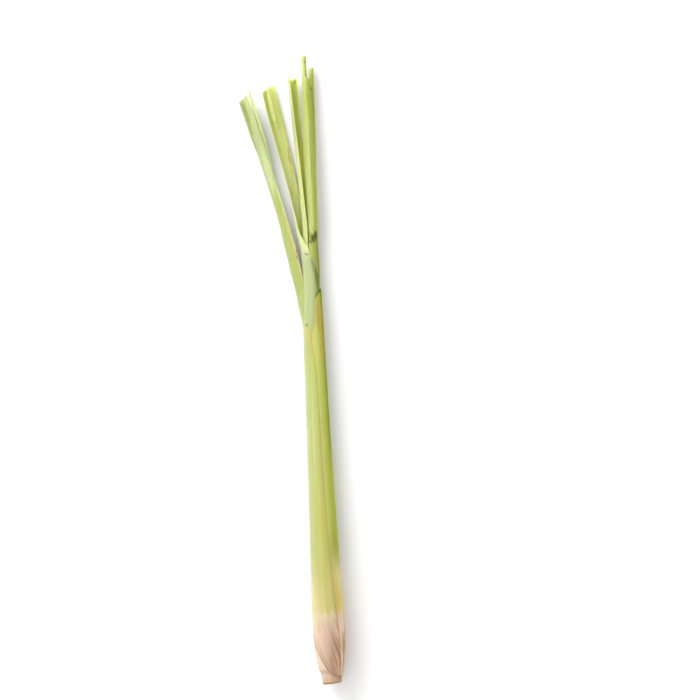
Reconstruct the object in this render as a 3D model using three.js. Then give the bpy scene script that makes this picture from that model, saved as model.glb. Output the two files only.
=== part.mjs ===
import * as THREE from 'three';

// Lemongrass stalk: a few long grass leaves growing from one short stem, cut below the
// root collar and across the leaves, and lying down on a level surface.
// Millimetres. +Y runs from the root end to the leaf tips, +Z is up, and the origin is on
// the surface, in the middle of the narrow flat strip on which the stalk rests.
// Angles round the stalk start at +X, its right side, and pass over the top at 90 degrees.

const WALL = 0.6; // thickness of every sheath and blade
const GAP = 0.12; // least room between a sheath and what it wraps
const SINK = 0.15; // how far the round underside is pressed flat where it rests
const LAYERS = 6; // sheaths wound round the heart leaf in the bulb
const LOOSE_PITCH = 0.95; // they lie looser where fewer are left
const LOOSE = [112, 130];

// Outside of the wrapped stalk: [along the stalk, value].
const RADIUS = [
  [-97, 6.2], [-93, 6.9], [-88, 7.6], [-82, 8.35], [-77, 8.8], [-55, 8.5], [-11, 7.45],
  [38, 6.45], [82, 5.85], [104, 5.5], [116, 5.1], [127, 4.85], [150, 4.7],
];
const CENTRE_X = [[-100, 0.5], [-77, 0.4], [-50, 0], [100, 0], [118, 0.3], [130, 0.2], [148, 0]];
const STUB_CENTRE_Z = 8.2; // the root end tapers about this height instead of on the surface
const BULB_FULL = -77; // where the bulb is thickest

// Cut stem under the leaves, and the slanting line along which the outer leaf grows from it.
const STEM = {
  name: 'stem_base',
  color: 0xe2bf98,
  cut: -100.8, // root end
  cutSlant: 0.4, // how far its right side reaches past its middle, and its left side falls short
  stub: [[-100.8, 4.9], [-99.6, 5.25], [-96.6, 5.5], [-95, 5.75], [-93.4, 6.8]],
  coneRise: 0.4, // rise of its pointed top for each millimetre inward
  sides: 24,
  rings: [0, 0.05, 0.14, 0.2, 0.25, 0.4, 0.6, 0.8, 1], // shares of the way from the cut to the scar
};
const SCAR = { low: -96.6, high: -71, turn: 200, sharp: 2.6 };

// Heart: the youngest leaf, still rolled into a thin spear.
const HEART = {
  name: 'leaf_heart',
  color: 0xccd67e,
  radius: [
    [-96, 1.2], [-66, 2.4], [-40, 2.1], [0, 1.5], [50, 1.05], [97, 0.92], [143, 1], [165, 1.25],
    [244, 1.4],
  ],
  foot: -66,
  x: [[138, 0.1], [146, 0.7], [154, 1.75], [162, 2.05], [244, 2.2]],
  lift: [[97, 0.07], [143, 0.1], [165, 0.3], [244, 0.2]],
  tip: 244.3,
  sides: 10,
};

// Leaves from the outside in. margins: [along the stalk, first edge, second edge] of the
// wrapped sheath in degrees. blade: [along the stalk, keel x, keel z, way it opens, angle
// between its halves, half-width]. tip: [across the leaf from -1 to 1, end of the cut].
// slit: [across, widest opening, bottom, top] of a tear that starts at the cut. opening:
// where the sheath starts to open and where it is all blade. swell: length above the
// collar over which the next sheath in comes out to the outline. front: 1 where the sheath's
// edge on top of the stalk is its first, -1 where it is its second. keel: 0 folds the
// blade sharply, 1 bends it evenly. under: width of the half folded underneath, for each
// millimetre of the other.
const LEAVES = [
  {
    name: 'leaf_1',
    color: 0xc9d98a,
    collar: 97,
    swell: 20,
    opening: [93, 111],
    front: 1,
    keel: 0.3,
    columns: 16,
    margins: [
      [-96, 38, 385], [-84, 46, 385], [-72, 52, 378], [-59, 58, 352], [-30, 67, 338], [-10, 72, 330],
      [20, 78, 316], [45, 79, 300], [66, 82, 280], [83, 93, 256], [93, 112, 238], [97, 122, 234],
      [101, 142, 234],
    ],
    blade: [
      [110, -7.9, 4.4, 8, 64, 4.7], [118, -9.3, 4.3, 6, 52, 5.4], [127, -11.2, 4, 3, 44, 6.4],
      [141, -13.8, 3.5, -10, 34, 7], [155, -16.4, 3.2, -10, 34, 6.1],
      [168, -19.5, 3.1, -10, 34, 5.8], [182, -23.3, 3.1, -9, 30, 6], [192, -26.1, 3.2, -9, 27, 7.4],
      [202, -29.4, 3.5, -8, 24, 8.9], [226, -36.1, 3.5, -8, 24, 9.1],
    ],
    tip: [
      [-1, 225], [-0.94, 227.9], [-0.88, 226.4], [-0.7, 224.9], [-0.5, 223], [-0.3, 221.8],
      [0, 220.4], [0.4, 219.8], [1, 219.6],
    ],
    slit: [-0.8, 0.17, 211, 229],
    under: 0.6,
  },
  {
    name: 'leaf_2',
    color: 0xb9c46a,
    collar: 116,
    swell: 12,
    front: -1,
    columns: 15,
    margins: [
      [-96, -160, 120], [-30, -155, 125], [40, -135, 122], [80, -121, 112], [94, -112, 97],
      [101, -100, 86], [110, -80, 76], [116, -62, 52],
    ],
    tip: [[-1, 111], [-0.4, 115], [0, 116.2], [0.3, 116], [0.6, 114], [1, 110.5]],
  },
  {
    name: 'leaf_3',
    color: 0xc6d590,
    collar: 135,
    swell: 20,
    opening: [135, 150],
    front: 1,
    keel: 0.5,
    columns: 14,
    margins: [
      [-96, 10, 350], [40, 12, 345], [95, 5, 315], [112, 6, 292], [118, 8, 284], [124, 14, 276],
      [130, 44, 266], [134.5, 86, 252],
    ],
    blade: [
      [148, -6.5, 3.8, 24, 60, 4.6], [160, -7.7, 3, 36, 66, 4.8], [171, -9, 2.6, 46, 74, 4.8],
      [190, -12.2, 2.2, 56, 88, 4.7], [210, -16.1, 1.9, 62, 92, 4.9], [226, -19.1, 1.7, 64, 92, 4.9],
    ],
    tip: [[-1, 224.8], [-0.3, 226.8], [0.2, 228.1], [0.74, 229.1], [0.86, 229.9], [1, 228.6]],
    slit: [0.8, 0.06, 225.3, 230],
  },
  {
    name: 'leaf_4',
    color: 0xc3cf6c,
    collar: 145,
    swell: 90,
    opening: [139, 151],
    front: -1,
    keel: 0.9,
    columns: 12,
    margins: [
      [-96, -130, 200], [40, -125, 190], [100, -95, 165], [125, -62, 125], [138, -30, 95],
      [145, -14, 86],
    ],
    blade: [
      [150, 2.5, 9, 268, 84, 3.2], [165, 2.6, 8.9, 268, 84, 3.6], [187, 2.5, 8.6, 270, 84, 3.8],
      [209, 2.7, 8.2, 270, 86, 3.4], [232, 2.8, 7.6, 270, 92, 2.4],
    ],
    tip: [[-1, 231.6], [0, 232.8], [0.6, 232.9], [1, 232.2]],
  },
  {
    name: 'leaf_5',
    color: 0xbcca70,
    collar: 141,
    swell: 90,
    opening: [136, 152],
    front: 1,
    keel: 0.35,
    columns: 13,
    margins: [[-96, 0, 340], [40, 5, 335], [100, 30, 320], [125, 60, 285], [135, 86, 260], [141, 97, 240]],
    blade: [
      [152, -3, 5.1, 15, 46, 3.85], [165, -3.5, 5.3, 24, 44, 4.2], [185, -4.5, 5, 27, 45, 4.6],
      [205, -5.6, 4.6, 32, 49, 4.9], [232, -6.9, 4.1, 37, 58, 4.9],
    ],
    tip: [[-1, 232.6], [-0.6, 233.4], [-0.2, 232], [0.3, 231.8], [1, 232.5]],
  },
  {
    name: 'leaf_6',
    color: 0xb4c25f,
    collar: 150,
    swell: 10,
    opening: [150, 167],
    keel: 0.8,
    columns: 12,
    margins: [[-96, -165, 170], [40, -155, 160], [100, -130, 130], [130, -100, 88], [148, -75, 55]],
    blade: [
      [164, 5.6, 4.1, 180, 40, 3], [180, 5.95, 4, 180, 34, 3.1], [200, 6.5, 3.9, 180, 28, 3.3],
      [220, 6.9, 3.8, 180, 20, 3.6], [237, 7.2, 3.7, 180, 16, 3.8],
    ],
    tip: [[-1, 236.2], [-0.3, 237.4], [0.3, 237.6], [1, 236.6]],
  },
];

const BARE = [-7, 3]; // a sheath rises beside its cover's edge past this place at the collar above
const FRONT_EDGE = [4, 14]; // degrees beyond a front edge before the next sheath rises, and its rise
const BACK_EDGE = [24, 30]; // the same beyond the edge under the stalk
const STRIP_HALF_ANGLE = 9; // half of the flat strip, seen from the middle of the stalk
const STRIP_END = [38, 94]; // the strip's columns leave it between these two places
const FIRST_ROW = -97; // row of a leaf's foot, wherever that foot lies
const OBLIQUE_FOOT = -50; // above this the rows lie square across the stalk
const FOOT_GAP = 0.45; // room between a leaf's foot and the scar where the scar runs square
const STEEP_GAP = 3; // more room where it runs steeply, for each millimetre in a degree
const CROSSING = [125, 131]; // closer rows where a front edge crosses over the stalk
const TIP_ROWS = 14; // length over which the rows turn to follow the cut at the tip

const { clamp, degToRad, lerp, smoothstep } = THREE.MathUtils;

// Smooth curve through rising stations [place, value, ...], level beyond its ends.
function along(stations, place, column = 1) {
  const last = stations.length - 1;
  if (place <= stations[0][0]) return stations[0][column];
  if (place >= stations[last][0]) return stations[last][column];
  let i = 0;
  while (place > stations[i + 1][0]) i += 1;
  const slope = (k) => {
    const a = stations[Math.max(k - 1, 0)];
    const b = stations[Math.min(k + 1, last)];
    return (b[column] - a[column]) / (b[0] - a[0]);
  };
  const [p, q] = [stations[i], stations[i + 1]];
  const span = q[0] - p[0];
  const t = (place - p[0]) / span;
  const rise = q[column] - p[column];
  const bend = (1 - t) * (slope(i) * span - rise) - t * (slope(i + 1) * span - rise);
  return p[column] + rise * t + t * (1 - t) * bend;
}

const radiusAt = (y) => along(RADIUS, y);
const centreX = (y) => along(CENTRE_X, y);
const heartRadius = (y) => along(HEART.radius, y);

function centreZ(y) {
  const resting = radiusAt(Math.max(y, BULB_FULL)) - SINK;
  return lerp(STUB_CENTRE_Z, resting, smoothstep(y, STEM.cut, BULB_FULL));
}

// Distance from the outside of one sheath to the outside of the next one in.
function pitchAt(y) {
  const room = (radiusAt(y) - heartRadius(y) - GAP) / LAYERS;
  return lerp(Math.max(room, WALL + GAP), LOOSE_PITCH, smoothstep(y, ...LOOSE));
}

function scarAt(angle) {
  const lean = (1 + Math.cos(degToRad(angle - SCAR.turn))) / 2;
  return lerp(SCAR.low, SCAR.high, lean ** SCAR.sharp);
}

// 1 along the wrapped part of a sheath, falling to 0 above its collar.
const wraps = (leaf, y) => 1 - smoothstep(y, leaf.collar, leaf.collar + leaf.swell);

const frontEdge = (leaf, y) => along(leaf.margins, y, leaf.front === 1 ? 1 : 2);

// How far the sheath inside this one is free of it at an angle, from 0 to 1.
function uncovered(leaf, angle, y) {
  const front = frontEdge(leaf, y);
  const back = along(leaf.margins, y, leaf.front === 1 ? 2 : 1) - leaf.front * 360;
  const beyondFront = (front - angle) * leaf.front;
  const beyondBack = (angle - back) * leaf.front;
  const [frontPad, frontRise] = FRONT_EDGE;
  const [backPad, backRise] = BACK_EDGE;
  return smoothstep(beyondFront, frontPad, frontPad + frontRise)
    * smoothstep(beyondBack, backPad, backPad + backRise);
}

// Depth of a sheath under all those outside it. Where its own cover is the outermost, it
// comes up beside that cover's edges.
function depthAt(order, angle, y) {
  let covers = 0;
  for (const outer of LEAVES.slice(0, order)) covers += wraps(outer, y);
  const cover = LEAVES[order - 1];
  if (cover) covers -= wraps(cover, y) * barePart(order, y) * uncovered(cover, angle, y);
  return covers * pitchAt(y);
}

function barePart(order, y) {
  if (order === 1) return 1;
  const above = LEAVES[order - 2].collar;
  return smoothstep(y, above + BARE[0], above + BARE[1]);
}

// A point at a depth inside the wrapped stalk; nothing comes nearer the surface than that.
function wrapped(angle, y, depth) {
  const radius = radiusAt(y) - depth;
  const x = centreX(y) + radius * Math.cos(degToRad(angle));
  const z = centreZ(y) + radius * Math.sin(degToRad(angle));
  return [x, Math.max(z, depth)];
}

// Angle of a point of the sheath, from -1 at its first edge to 1 at its second. The outer
// leaf keeps two columns at the edges of the strip that the stalk rests on, and a leaf
// inside another keeps two at the step beside that leaf's front edge.
function sheathAngle(leaf, across, y) {
  const order = LEAVES.indexOf(leaf);
  const first = along(leaf.margins, y, 1);
  const second = along(leaf.margins, y, 2);
  const share = (across + 1) / 2;
  const even = lerp(first, second, share);
  const cover = LEAVES[order - 1];
  let held = [270 - STRIP_HALF_ANGLE, 270 + STRIP_HALF_ANGLE];
  let hold = 1 - smoothstep(y, ...STRIP_END);
  if (cover) {
    const edges = [FRONT_EDGE[0], FRONT_EDGE[0] + FRONT_EDGE[1]];
    held = edges.map((pad) => frontEdge(cover, y) - pad * cover.front).sort((a, b) => a - b);
    held = held.map((angle, k) => clamp(angle, first + 6 + 3 * k, second - 6 + 3 * k));
    hold = 1 - smoothstep(y, cover.collar + 2, cover.collar + 20);
    if (order > 1) hold *= smoothstep(y, LEAVES[order - 2].collar - 22, LEAVES[order - 2].collar);
  }
  const before = Math.round(leaf.columns * (cover && cover.front === -1 ? 0.3 : 0.56));
  const knots = [0, before, before + 1, leaf.columns].map((column) => column / leaf.columns);
  const angles = [first, ...held, second];
  const part = share <= knots[1] ? 0 : share <= knots[2] ? 1 : 2;
  const local = (share - knots[part]) / (knots[part + 1] - knots[part]);
  const kept = lerp(angles[part], angles[part + 1], local);
  return lerp(even, kept, hold);
}

// Blade section: two halves folded about the keel, drawn by turning the way it runs.
function bladePoint(leaf, across, y) {
  const [x, z, opens, fold, halfWidth] = [1, 2, 3, 4, 5].map((k) => along(leaf.blade, y, k));
  const turn = 90 - fold / 2;
  const reach = across > 0 && leaf.under ? across * leaf.under : across;
  const steps = 12;
  let [px, pz] = [x, z];
  for (let i = 0; i < steps; i += 1) {
    const at = (across * (i + 0.5)) / steps;
    const share = Math.tanh(at / leaf.keel) / Math.tanh(1 / leaf.keel);
    const way = degToRad(opens - 90 + turn * share);
    px += ((reach * halfWidth) / steps) * Math.cos(way);
    pz += ((reach * halfWidth) / steps) * Math.sin(way);
  }
  return [px, pz];
}

function leafPoint(leaf, order, across, y) {
  const angle = sheathAngle(leaf, across, y);
  const sheath = wrapped(angle, y, depthAt(order, angle, y));
  if (!leaf.blade) return sheath;
  const opened = smoothstep(y, ...leaf.opening);
  if (opened === 0) return sheath;
  const blade = bladePoint(leaf, across, y);
  return [lerp(sheath[0], blade[0], opened), lerp(sheath[1], blade[1], opened)];
}

// Foot of a leaf: it stands over the cone of the stem, higher the further in it is.
function footAt(leaf, order, across) {
  const rise = FOOT_GAP + order * pitchAt(BULB_FULL);
  const guess = scarAt(sheathAngle(leaf, across, OBLIQUE_FOOT)) + rise;
  const angle = sheathAngle(leaf, across, guess);
  const slope = Math.abs(scarAt(angle + 5) - scarAt(angle - 5)) / 10;
  return scarAt(angle) + rise + slope * STEEP_GAP;
}

const tipEnd = (leaf) => Math.max(...leaf.tip.map(([, y]) => y));

function rowPlaces(leaf) {
  const last = tipEnd(leaf);
  const places = [FIRST_ROW, -91.5, -86, -80, -72, -62, OBLIQUE_FOOT];
  for (let y = -32; y < 84; y += 14.5) places.push(y);
  for (let y = 86; y < Math.min(leaf.collar + 20, last - 3); y += 6) places.push(y);
  if (leaf.collar > CROSSING[1]) places.push(...CROSSING);
  for (let y = places[places.length - 1] + 11; y < last - 4; y += 11) places.push(y);
  places.push(last);
  if (leaf.slit) places.push(leaf.slit[2]);
  return places.sort((a, b) => a - b);
}

// Place along the stalk of a point in a row: the first rows turn from the slanting foot and
// the last ones turn to follow the cut tip.
function placeAt(leaf, order, row, across) {
  if (row < OBLIQUE_FOOT) {
    const share = (row - FIRST_ROW) / (OBLIQUE_FOOT - FIRST_ROW);
    return lerp(footAt(leaf, order, across), OBLIQUE_FOOT, share);
  }
  const last = tipEnd(leaf);
  const turnsAt = last - TIP_ROWS;
  if (row <= turnsAt) return row;
  return lerp(turnsAt, along(leaf.tip, across), (row - turnsAt) / (last - turnsAt));
}

// Across position of a column; the two beside a tear stand apart by its opening.
function columnAcross(leaf, column, y) {
  const across = -1 + (2 * column) / leaf.columns;
  if (!leaf.slit) return across;
  const [middle, opening, bottom, top] = leaf.slit;
  const left = Math.round(((middle + 1) / 2) * leaf.columns - 0.5);
  if (column !== left && column !== left + 1) return across;
  const apart = opening * (0.25 + 0.75 * smoothstep(y, bottom, top));
  const gathered = smoothstep(y, bottom - 60, bottom);
  return lerp(across, middle + (column === left ? -apart : apart) / 2, gathered);
}

function inTear(leaf, row, column) {
  if (!leaf.slit) return false;
  const left = Math.round(((leaf.slit[0] + 1) / 2) * leaf.columns - 0.5);
  return column === left && row >= leaf.slit[2];
}

// Way into the wall from a point on its outer side, square to the section there.
function inwardAt(leaf, order, across, y) {
  const step = 0.01;
  const a = leafPoint(leaf, order, clamp(across - step, -1, 1), y);
  const b = leafPoint(leaf, order, clamp(across + step, -1, 1), y);
  const length = Math.hypot(b[0] - a[0], b[1] - a[1]);
  return [(a[1] - b[1]) / length, (b[0] - a[0]) / length];
}

// A leaf: an outer and an inner side of the same rows and columns, joined round every edge.
function leafGeometry(leaf, order) {
  const rows = rowPlaces(leaf);
  const outer = [];
  const inner = [];
  for (const row of rows) {
    for (let column = 0; column <= leaf.columns; column += 1) {
      const across = columnAcross(leaf, column, row);
      const y = placeAt(leaf, order, row, across);
      const [x, z] = leafPoint(leaf, order, across, y);
      const [inX, inZ] = inwardAt(leaf, order, across, y);
      outer.push(x, y, z);
      inner.push(x + WALL * inX, y, z + WALL * inZ);
    }
  }
  const present = (row, column) => row >= 0 && column >= 0 && row < rows.length - 1
    && column < leaf.columns && !inTear(leaf, rows[row], column);
  const index = wallIndex(rows.length, leaf.columns + 1, present);
  return solid([...outer, ...inner], index);
}

// Triangles of a wall whose cells are present or missing; every free side of a cell is closed.
function wallIndex(rows, columns, present) {
  const index = [];
  const quad = (a, b, c, d) => index.push(a, b, c, a, c, d);
  const inner = rows * columns;
  for (let row = 0; row < rows - 1; row += 1) {
    for (let column = 0; column < columns - 1; column += 1) {
      if (!present(row, column)) continue;
      const a = row * columns + column;
      const b = a + 1;
      const c = a + columns + 1;
      const d = a + columns;
      index.push(a, c, b, a, d, c);
      quad(a + inner, b + inner, c + inner, d + inner);
      if (!present(row - 1, column)) quad(a, b, b + inner, a + inner);
      if (!present(row + 1, column)) quad(d, d + inner, c + inner, c);
      if (!present(row, column - 1)) quad(a, a + inner, d + inner, d);
      if (!present(row, column + 1)) quad(b, c, c + inner, b + inner);
    }
  }
  return index;
}

// Rings of points from a first pole to a last pole, closed into one body.
function ringGeometry(rings, firstPole, lastPole) {
  const sides = rings[0].length;
  const positions = [...rings.flat(2), ...firstPole, ...lastPole];
  const first = rings.length * sides;
  const index = [];
  for (let side = 0; side < sides; side += 1) {
    const next = (side + 1) % sides;
    index.push(first, side, next);
    for (let ring = 0; ring < rings.length - 1; ring += 1) {
      const a = ring * sides + side;
      const b = ring * sides + next;
      index.push(a, b + sides, b, a, a + sides, b + sides);
    }
    const top = (rings.length - 1) * sides;
    index.push(first + 1, top + next, top + side);
  }
  return solid(positions, index);
}

function solid(positions, index) {
  const geometry = new THREE.BufferGeometry();
  geometry.setAttribute('position', new THREE.Float32BufferAttribute(positions, 3));
  geometry.setIndex(index);
  geometry.computeVertexNormals();
  return geometry;
}

// Short stem: a cut stub that widens under the slanting scar and ends in a cone inside.
function stemGeometry() {
  const rings = [];
  const angles = Array.from({ length: STEM.sides }, (_, side) => (360 * side) / STEM.sides);
  const shoulder = STEM.stub[STEM.stub.length - 1][0];
  const outside = (y) => (y < shoulder ? along(STEM.stub, y) : radiusAt(y));
  const place = (angle, radius, y) => [
    centreX(y) + radius * Math.cos(degToRad(angle)),
    y,
    centreZ(y) + radius * Math.sin(degToRad(angle)),
  ];
  for (const share of STEM.rings) {
    rings.push(angles.map((angle) => {
      const slant = STEM.cutSlant * Math.cos(degToRad(angle)) * (1 - share) ** 20;
      const y = lerp(STEM.cut, scarAt(angle), share);
      return place(angle, outside(y), y + slant);
    }));
  }
  const reach = pitchAt(BULB_FULL) * LAYERS;
  for (const depth of [1.2, reach * 0.5, reach]) {
    rings.push(angles.map((angle) => {
      const y = scarAt(angle) + depth * STEM.coneRise;
      return place(angle, Math.max(radiusAt(y) - depth, 0.6), y);
    }));
  }
  const foot = place(0, 0, STEM.cut);
  const peak = place(0, 0, SCAR.low + (SCAR.high - SCAR.low) * 0.3 + reach * STEM.coneRise);
  return ringGeometry(rings, foot, peak);
}

function heartGeometry() {
  const rings = [];
  const places = [];
  for (let y = HEART.foot; y < HEART.tip - 6; y += 14) places.push(y);
  places.push(HEART.tip - 0.4);
  const spine = (y) => [along(HEART.x, y) + centreX(y), centreZ(y) + along(HEART.lift, y)];
  for (const y of places) {
    const [x, z] = spine(y);
    rings.push(Array.from({ length: HEART.sides }, (_, side) => {
      const angle = degToRad((360 * side) / HEART.sides);
      const radius = heartRadius(y);
      return [x + radius * Math.cos(angle), y, z + radius * Math.sin(angle)];
    }));
  }
  const [footX, footZ] = spine(HEART.foot);
  const [tipX, tipZ] = spine(HEART.tip);
  return ringGeometry(rings, [footX, HEART.foot, footZ], [tipX, HEART.tip, tipZ]);
}

function piece(spec, geometry) {
  const material = new THREE.MeshStandardMaterial({
    color: spec.color,
    roughness: 0.55,
    metalness: 0,
  });
  const mesh = new THREE.Mesh(geometry, material);
  mesh.name = spec.name;
  return mesh;
}

const stalk = new THREE.Group();
stalk.add(piece(STEM, stemGeometry()));
LEAVES.forEach((leaf, order) => stalk.add(piece(leaf, leafGeometry(leaf, order))));
stalk.add(piece(HEART, heartGeometry()));

export default stalk;
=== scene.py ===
"""Lemongrass stalk lying on a pale floor: grown leaves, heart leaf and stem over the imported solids.

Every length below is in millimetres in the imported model's frame: +Y runs from the root end to
the leaf tips and +Z is up. Angles round the stalk start at +X and pass over the top at 90
degrees. Meshes are made in metres.
"""

import bpy
import numpy as np
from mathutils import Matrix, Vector


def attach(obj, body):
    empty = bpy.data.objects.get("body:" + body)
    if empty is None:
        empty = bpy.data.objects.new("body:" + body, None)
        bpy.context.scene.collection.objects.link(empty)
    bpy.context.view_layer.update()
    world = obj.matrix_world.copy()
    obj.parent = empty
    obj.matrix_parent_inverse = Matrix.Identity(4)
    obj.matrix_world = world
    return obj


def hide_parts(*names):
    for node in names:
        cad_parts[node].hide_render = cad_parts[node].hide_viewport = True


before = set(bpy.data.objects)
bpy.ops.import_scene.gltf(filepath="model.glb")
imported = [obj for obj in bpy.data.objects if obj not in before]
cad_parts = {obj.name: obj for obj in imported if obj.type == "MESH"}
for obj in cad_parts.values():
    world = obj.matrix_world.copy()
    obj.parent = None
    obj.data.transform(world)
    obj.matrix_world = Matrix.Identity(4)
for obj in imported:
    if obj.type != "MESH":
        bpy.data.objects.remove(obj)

bl_info = {
    "name": "Lemongrass Stalk",
    "version": (1, 0, 0),
    "blender": (4, 5, 0),
    "location": "View3D > Sidebar > Lemongrass",
    "description": "Grows a cut lemongrass stalk with its leaves, fibres and finish",
    "category": "Add Mesh",
}

MM = 0.001

# Form of the stalk, as in its solids -------------------------------------------------------

LAYERS = 6  # sheaths wound round the heart leaf
SOLID_WALL = 0.6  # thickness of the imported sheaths
GAP = 0.12  # least room between one sheath and the next
SINK = 0.15  # how far the underside is pressed flat
LOOSE_PITCH = 0.95  # from one sheath to the next where the stalk loosens
LOOSE = (112, 130)
RADIUS = [
    (-97, 6.2), (-93, 6.9), (-88, 7.6), (-82, 8.35), (-77, 8.8), (-55, 8.5), (-11, 7.45),
    (38, 6.45), (82, 5.85), (104, 5.5), (116, 5.1), (127, 4.85), (150, 4.7),
]
CENTRE_X = [(-100, 0.5), (-77, 0.4), (-50, 0), (100, 0), (118, 0.3), (130, 0.2), (148, 0)]
STUB_CENTRE_X, STUB_CENTRE_Z = 0.5, 8.2
BULB_FULL = -77  # where the bulb is thickest
CUT = -100.8
STUB = [(-100.8, 4.9), (-99.6, 5.25), (-96.6, 5.5), (-95, 5.75), (-93.4, 6.8)]
CUT_SLANT = 0.4
SCAR_LOW, SCAR_HIGH = -96.6, -71  # the scar's two ends along the stalk
SCAR_TURN, SCAR_SHARP = 200, 2.6  # the angle where it is highest, and how narrow that is
CONE_RISE = 0.4  # rise of the inner cone for each step inwards
STUB_RINGS = {"cut": 16, "side": 40, "cone": 12}
STUB_SIDES, HEART_SIDES = 120, 40
STUB_WOBBLE = [(0.12, 5, 1), (0.08, 11, 0)]  # its unevenness: height, waves round, turn
CUT_SWELL, CUT_RINGS, CUT_HOLLOW = 0.1, 26, 0.25  # rings on the cut face and its sunk middle
LIP_HEIGHT, LIP_BELOW, LIP_WIDTH = 0.1, 0.5, 0.4  # lip beside the scar
HEART_RADIUS = [
    (-96, 1.2), (-66, 2.4), (-40, 2.1), (0, 1.5), (50, 1.05), (97, 0.92), (143, 1), (165, 1.25),
    (244, 1.4),
]
HEART_X = [(138, 0.1), (146, 0.7), (154, 1.75), (162, 2.05), (244, 2.2)]
HEART_LIFT = [(97, 0.07), (143, 0.1), (165, 0.3), (244, 0.2)]
HEART_FOOT, HEART_TIP = -66, 244.3
HEART_LAP = 0.16  # share of its radius by which the rolled leaf's edge laps over itself
HEART_LAP_AT = 0.12  # where that edge is, as a share of a turn

EDGE_BAND = (-11, 11.5)  # from this far under a sheath's edge, in degrees, and over how many
FOOT_ROWS_FROM = -97
OBLIQUE_FOOT = -50  # rows of points below this follow the slanting foot
FOOT_ROWS = 34
FOOT_GAP = 0.45  # of the inner leaves over the cone
STEEP_GAP = 3  # more of it where the scar is steep
EDGE_LIFT = 0.08  # how far a sheath's edge stands up over the sheath beneath it
EDGE_SLOPE = 1.4  # width over which the edge comes up
FOOT_SUNK = 0.22  # the outer leaves' feet start this far under the lip of the scar
FOOT_RISE = 2.6  # length over which the outer leaf comes up out of the scar
TIP_LENGTH = 14  # rows of points over this length follow the cut tip
TEAR_GATHERS = 60  # length below a tear over which the columns close up to it
HALF_STEPS = 16  # steps in which a blade's half is drawn
SIDE_STEP = 0.004  # across a leaf, to find which way its side faces
FULL_TURN = 6.2832
TEAR_START = 0.02  # width across of a tear where it begins
RAGGED_WAVES = (61, 23)  # waves of a cut tip's unevenness across the leaf

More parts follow.
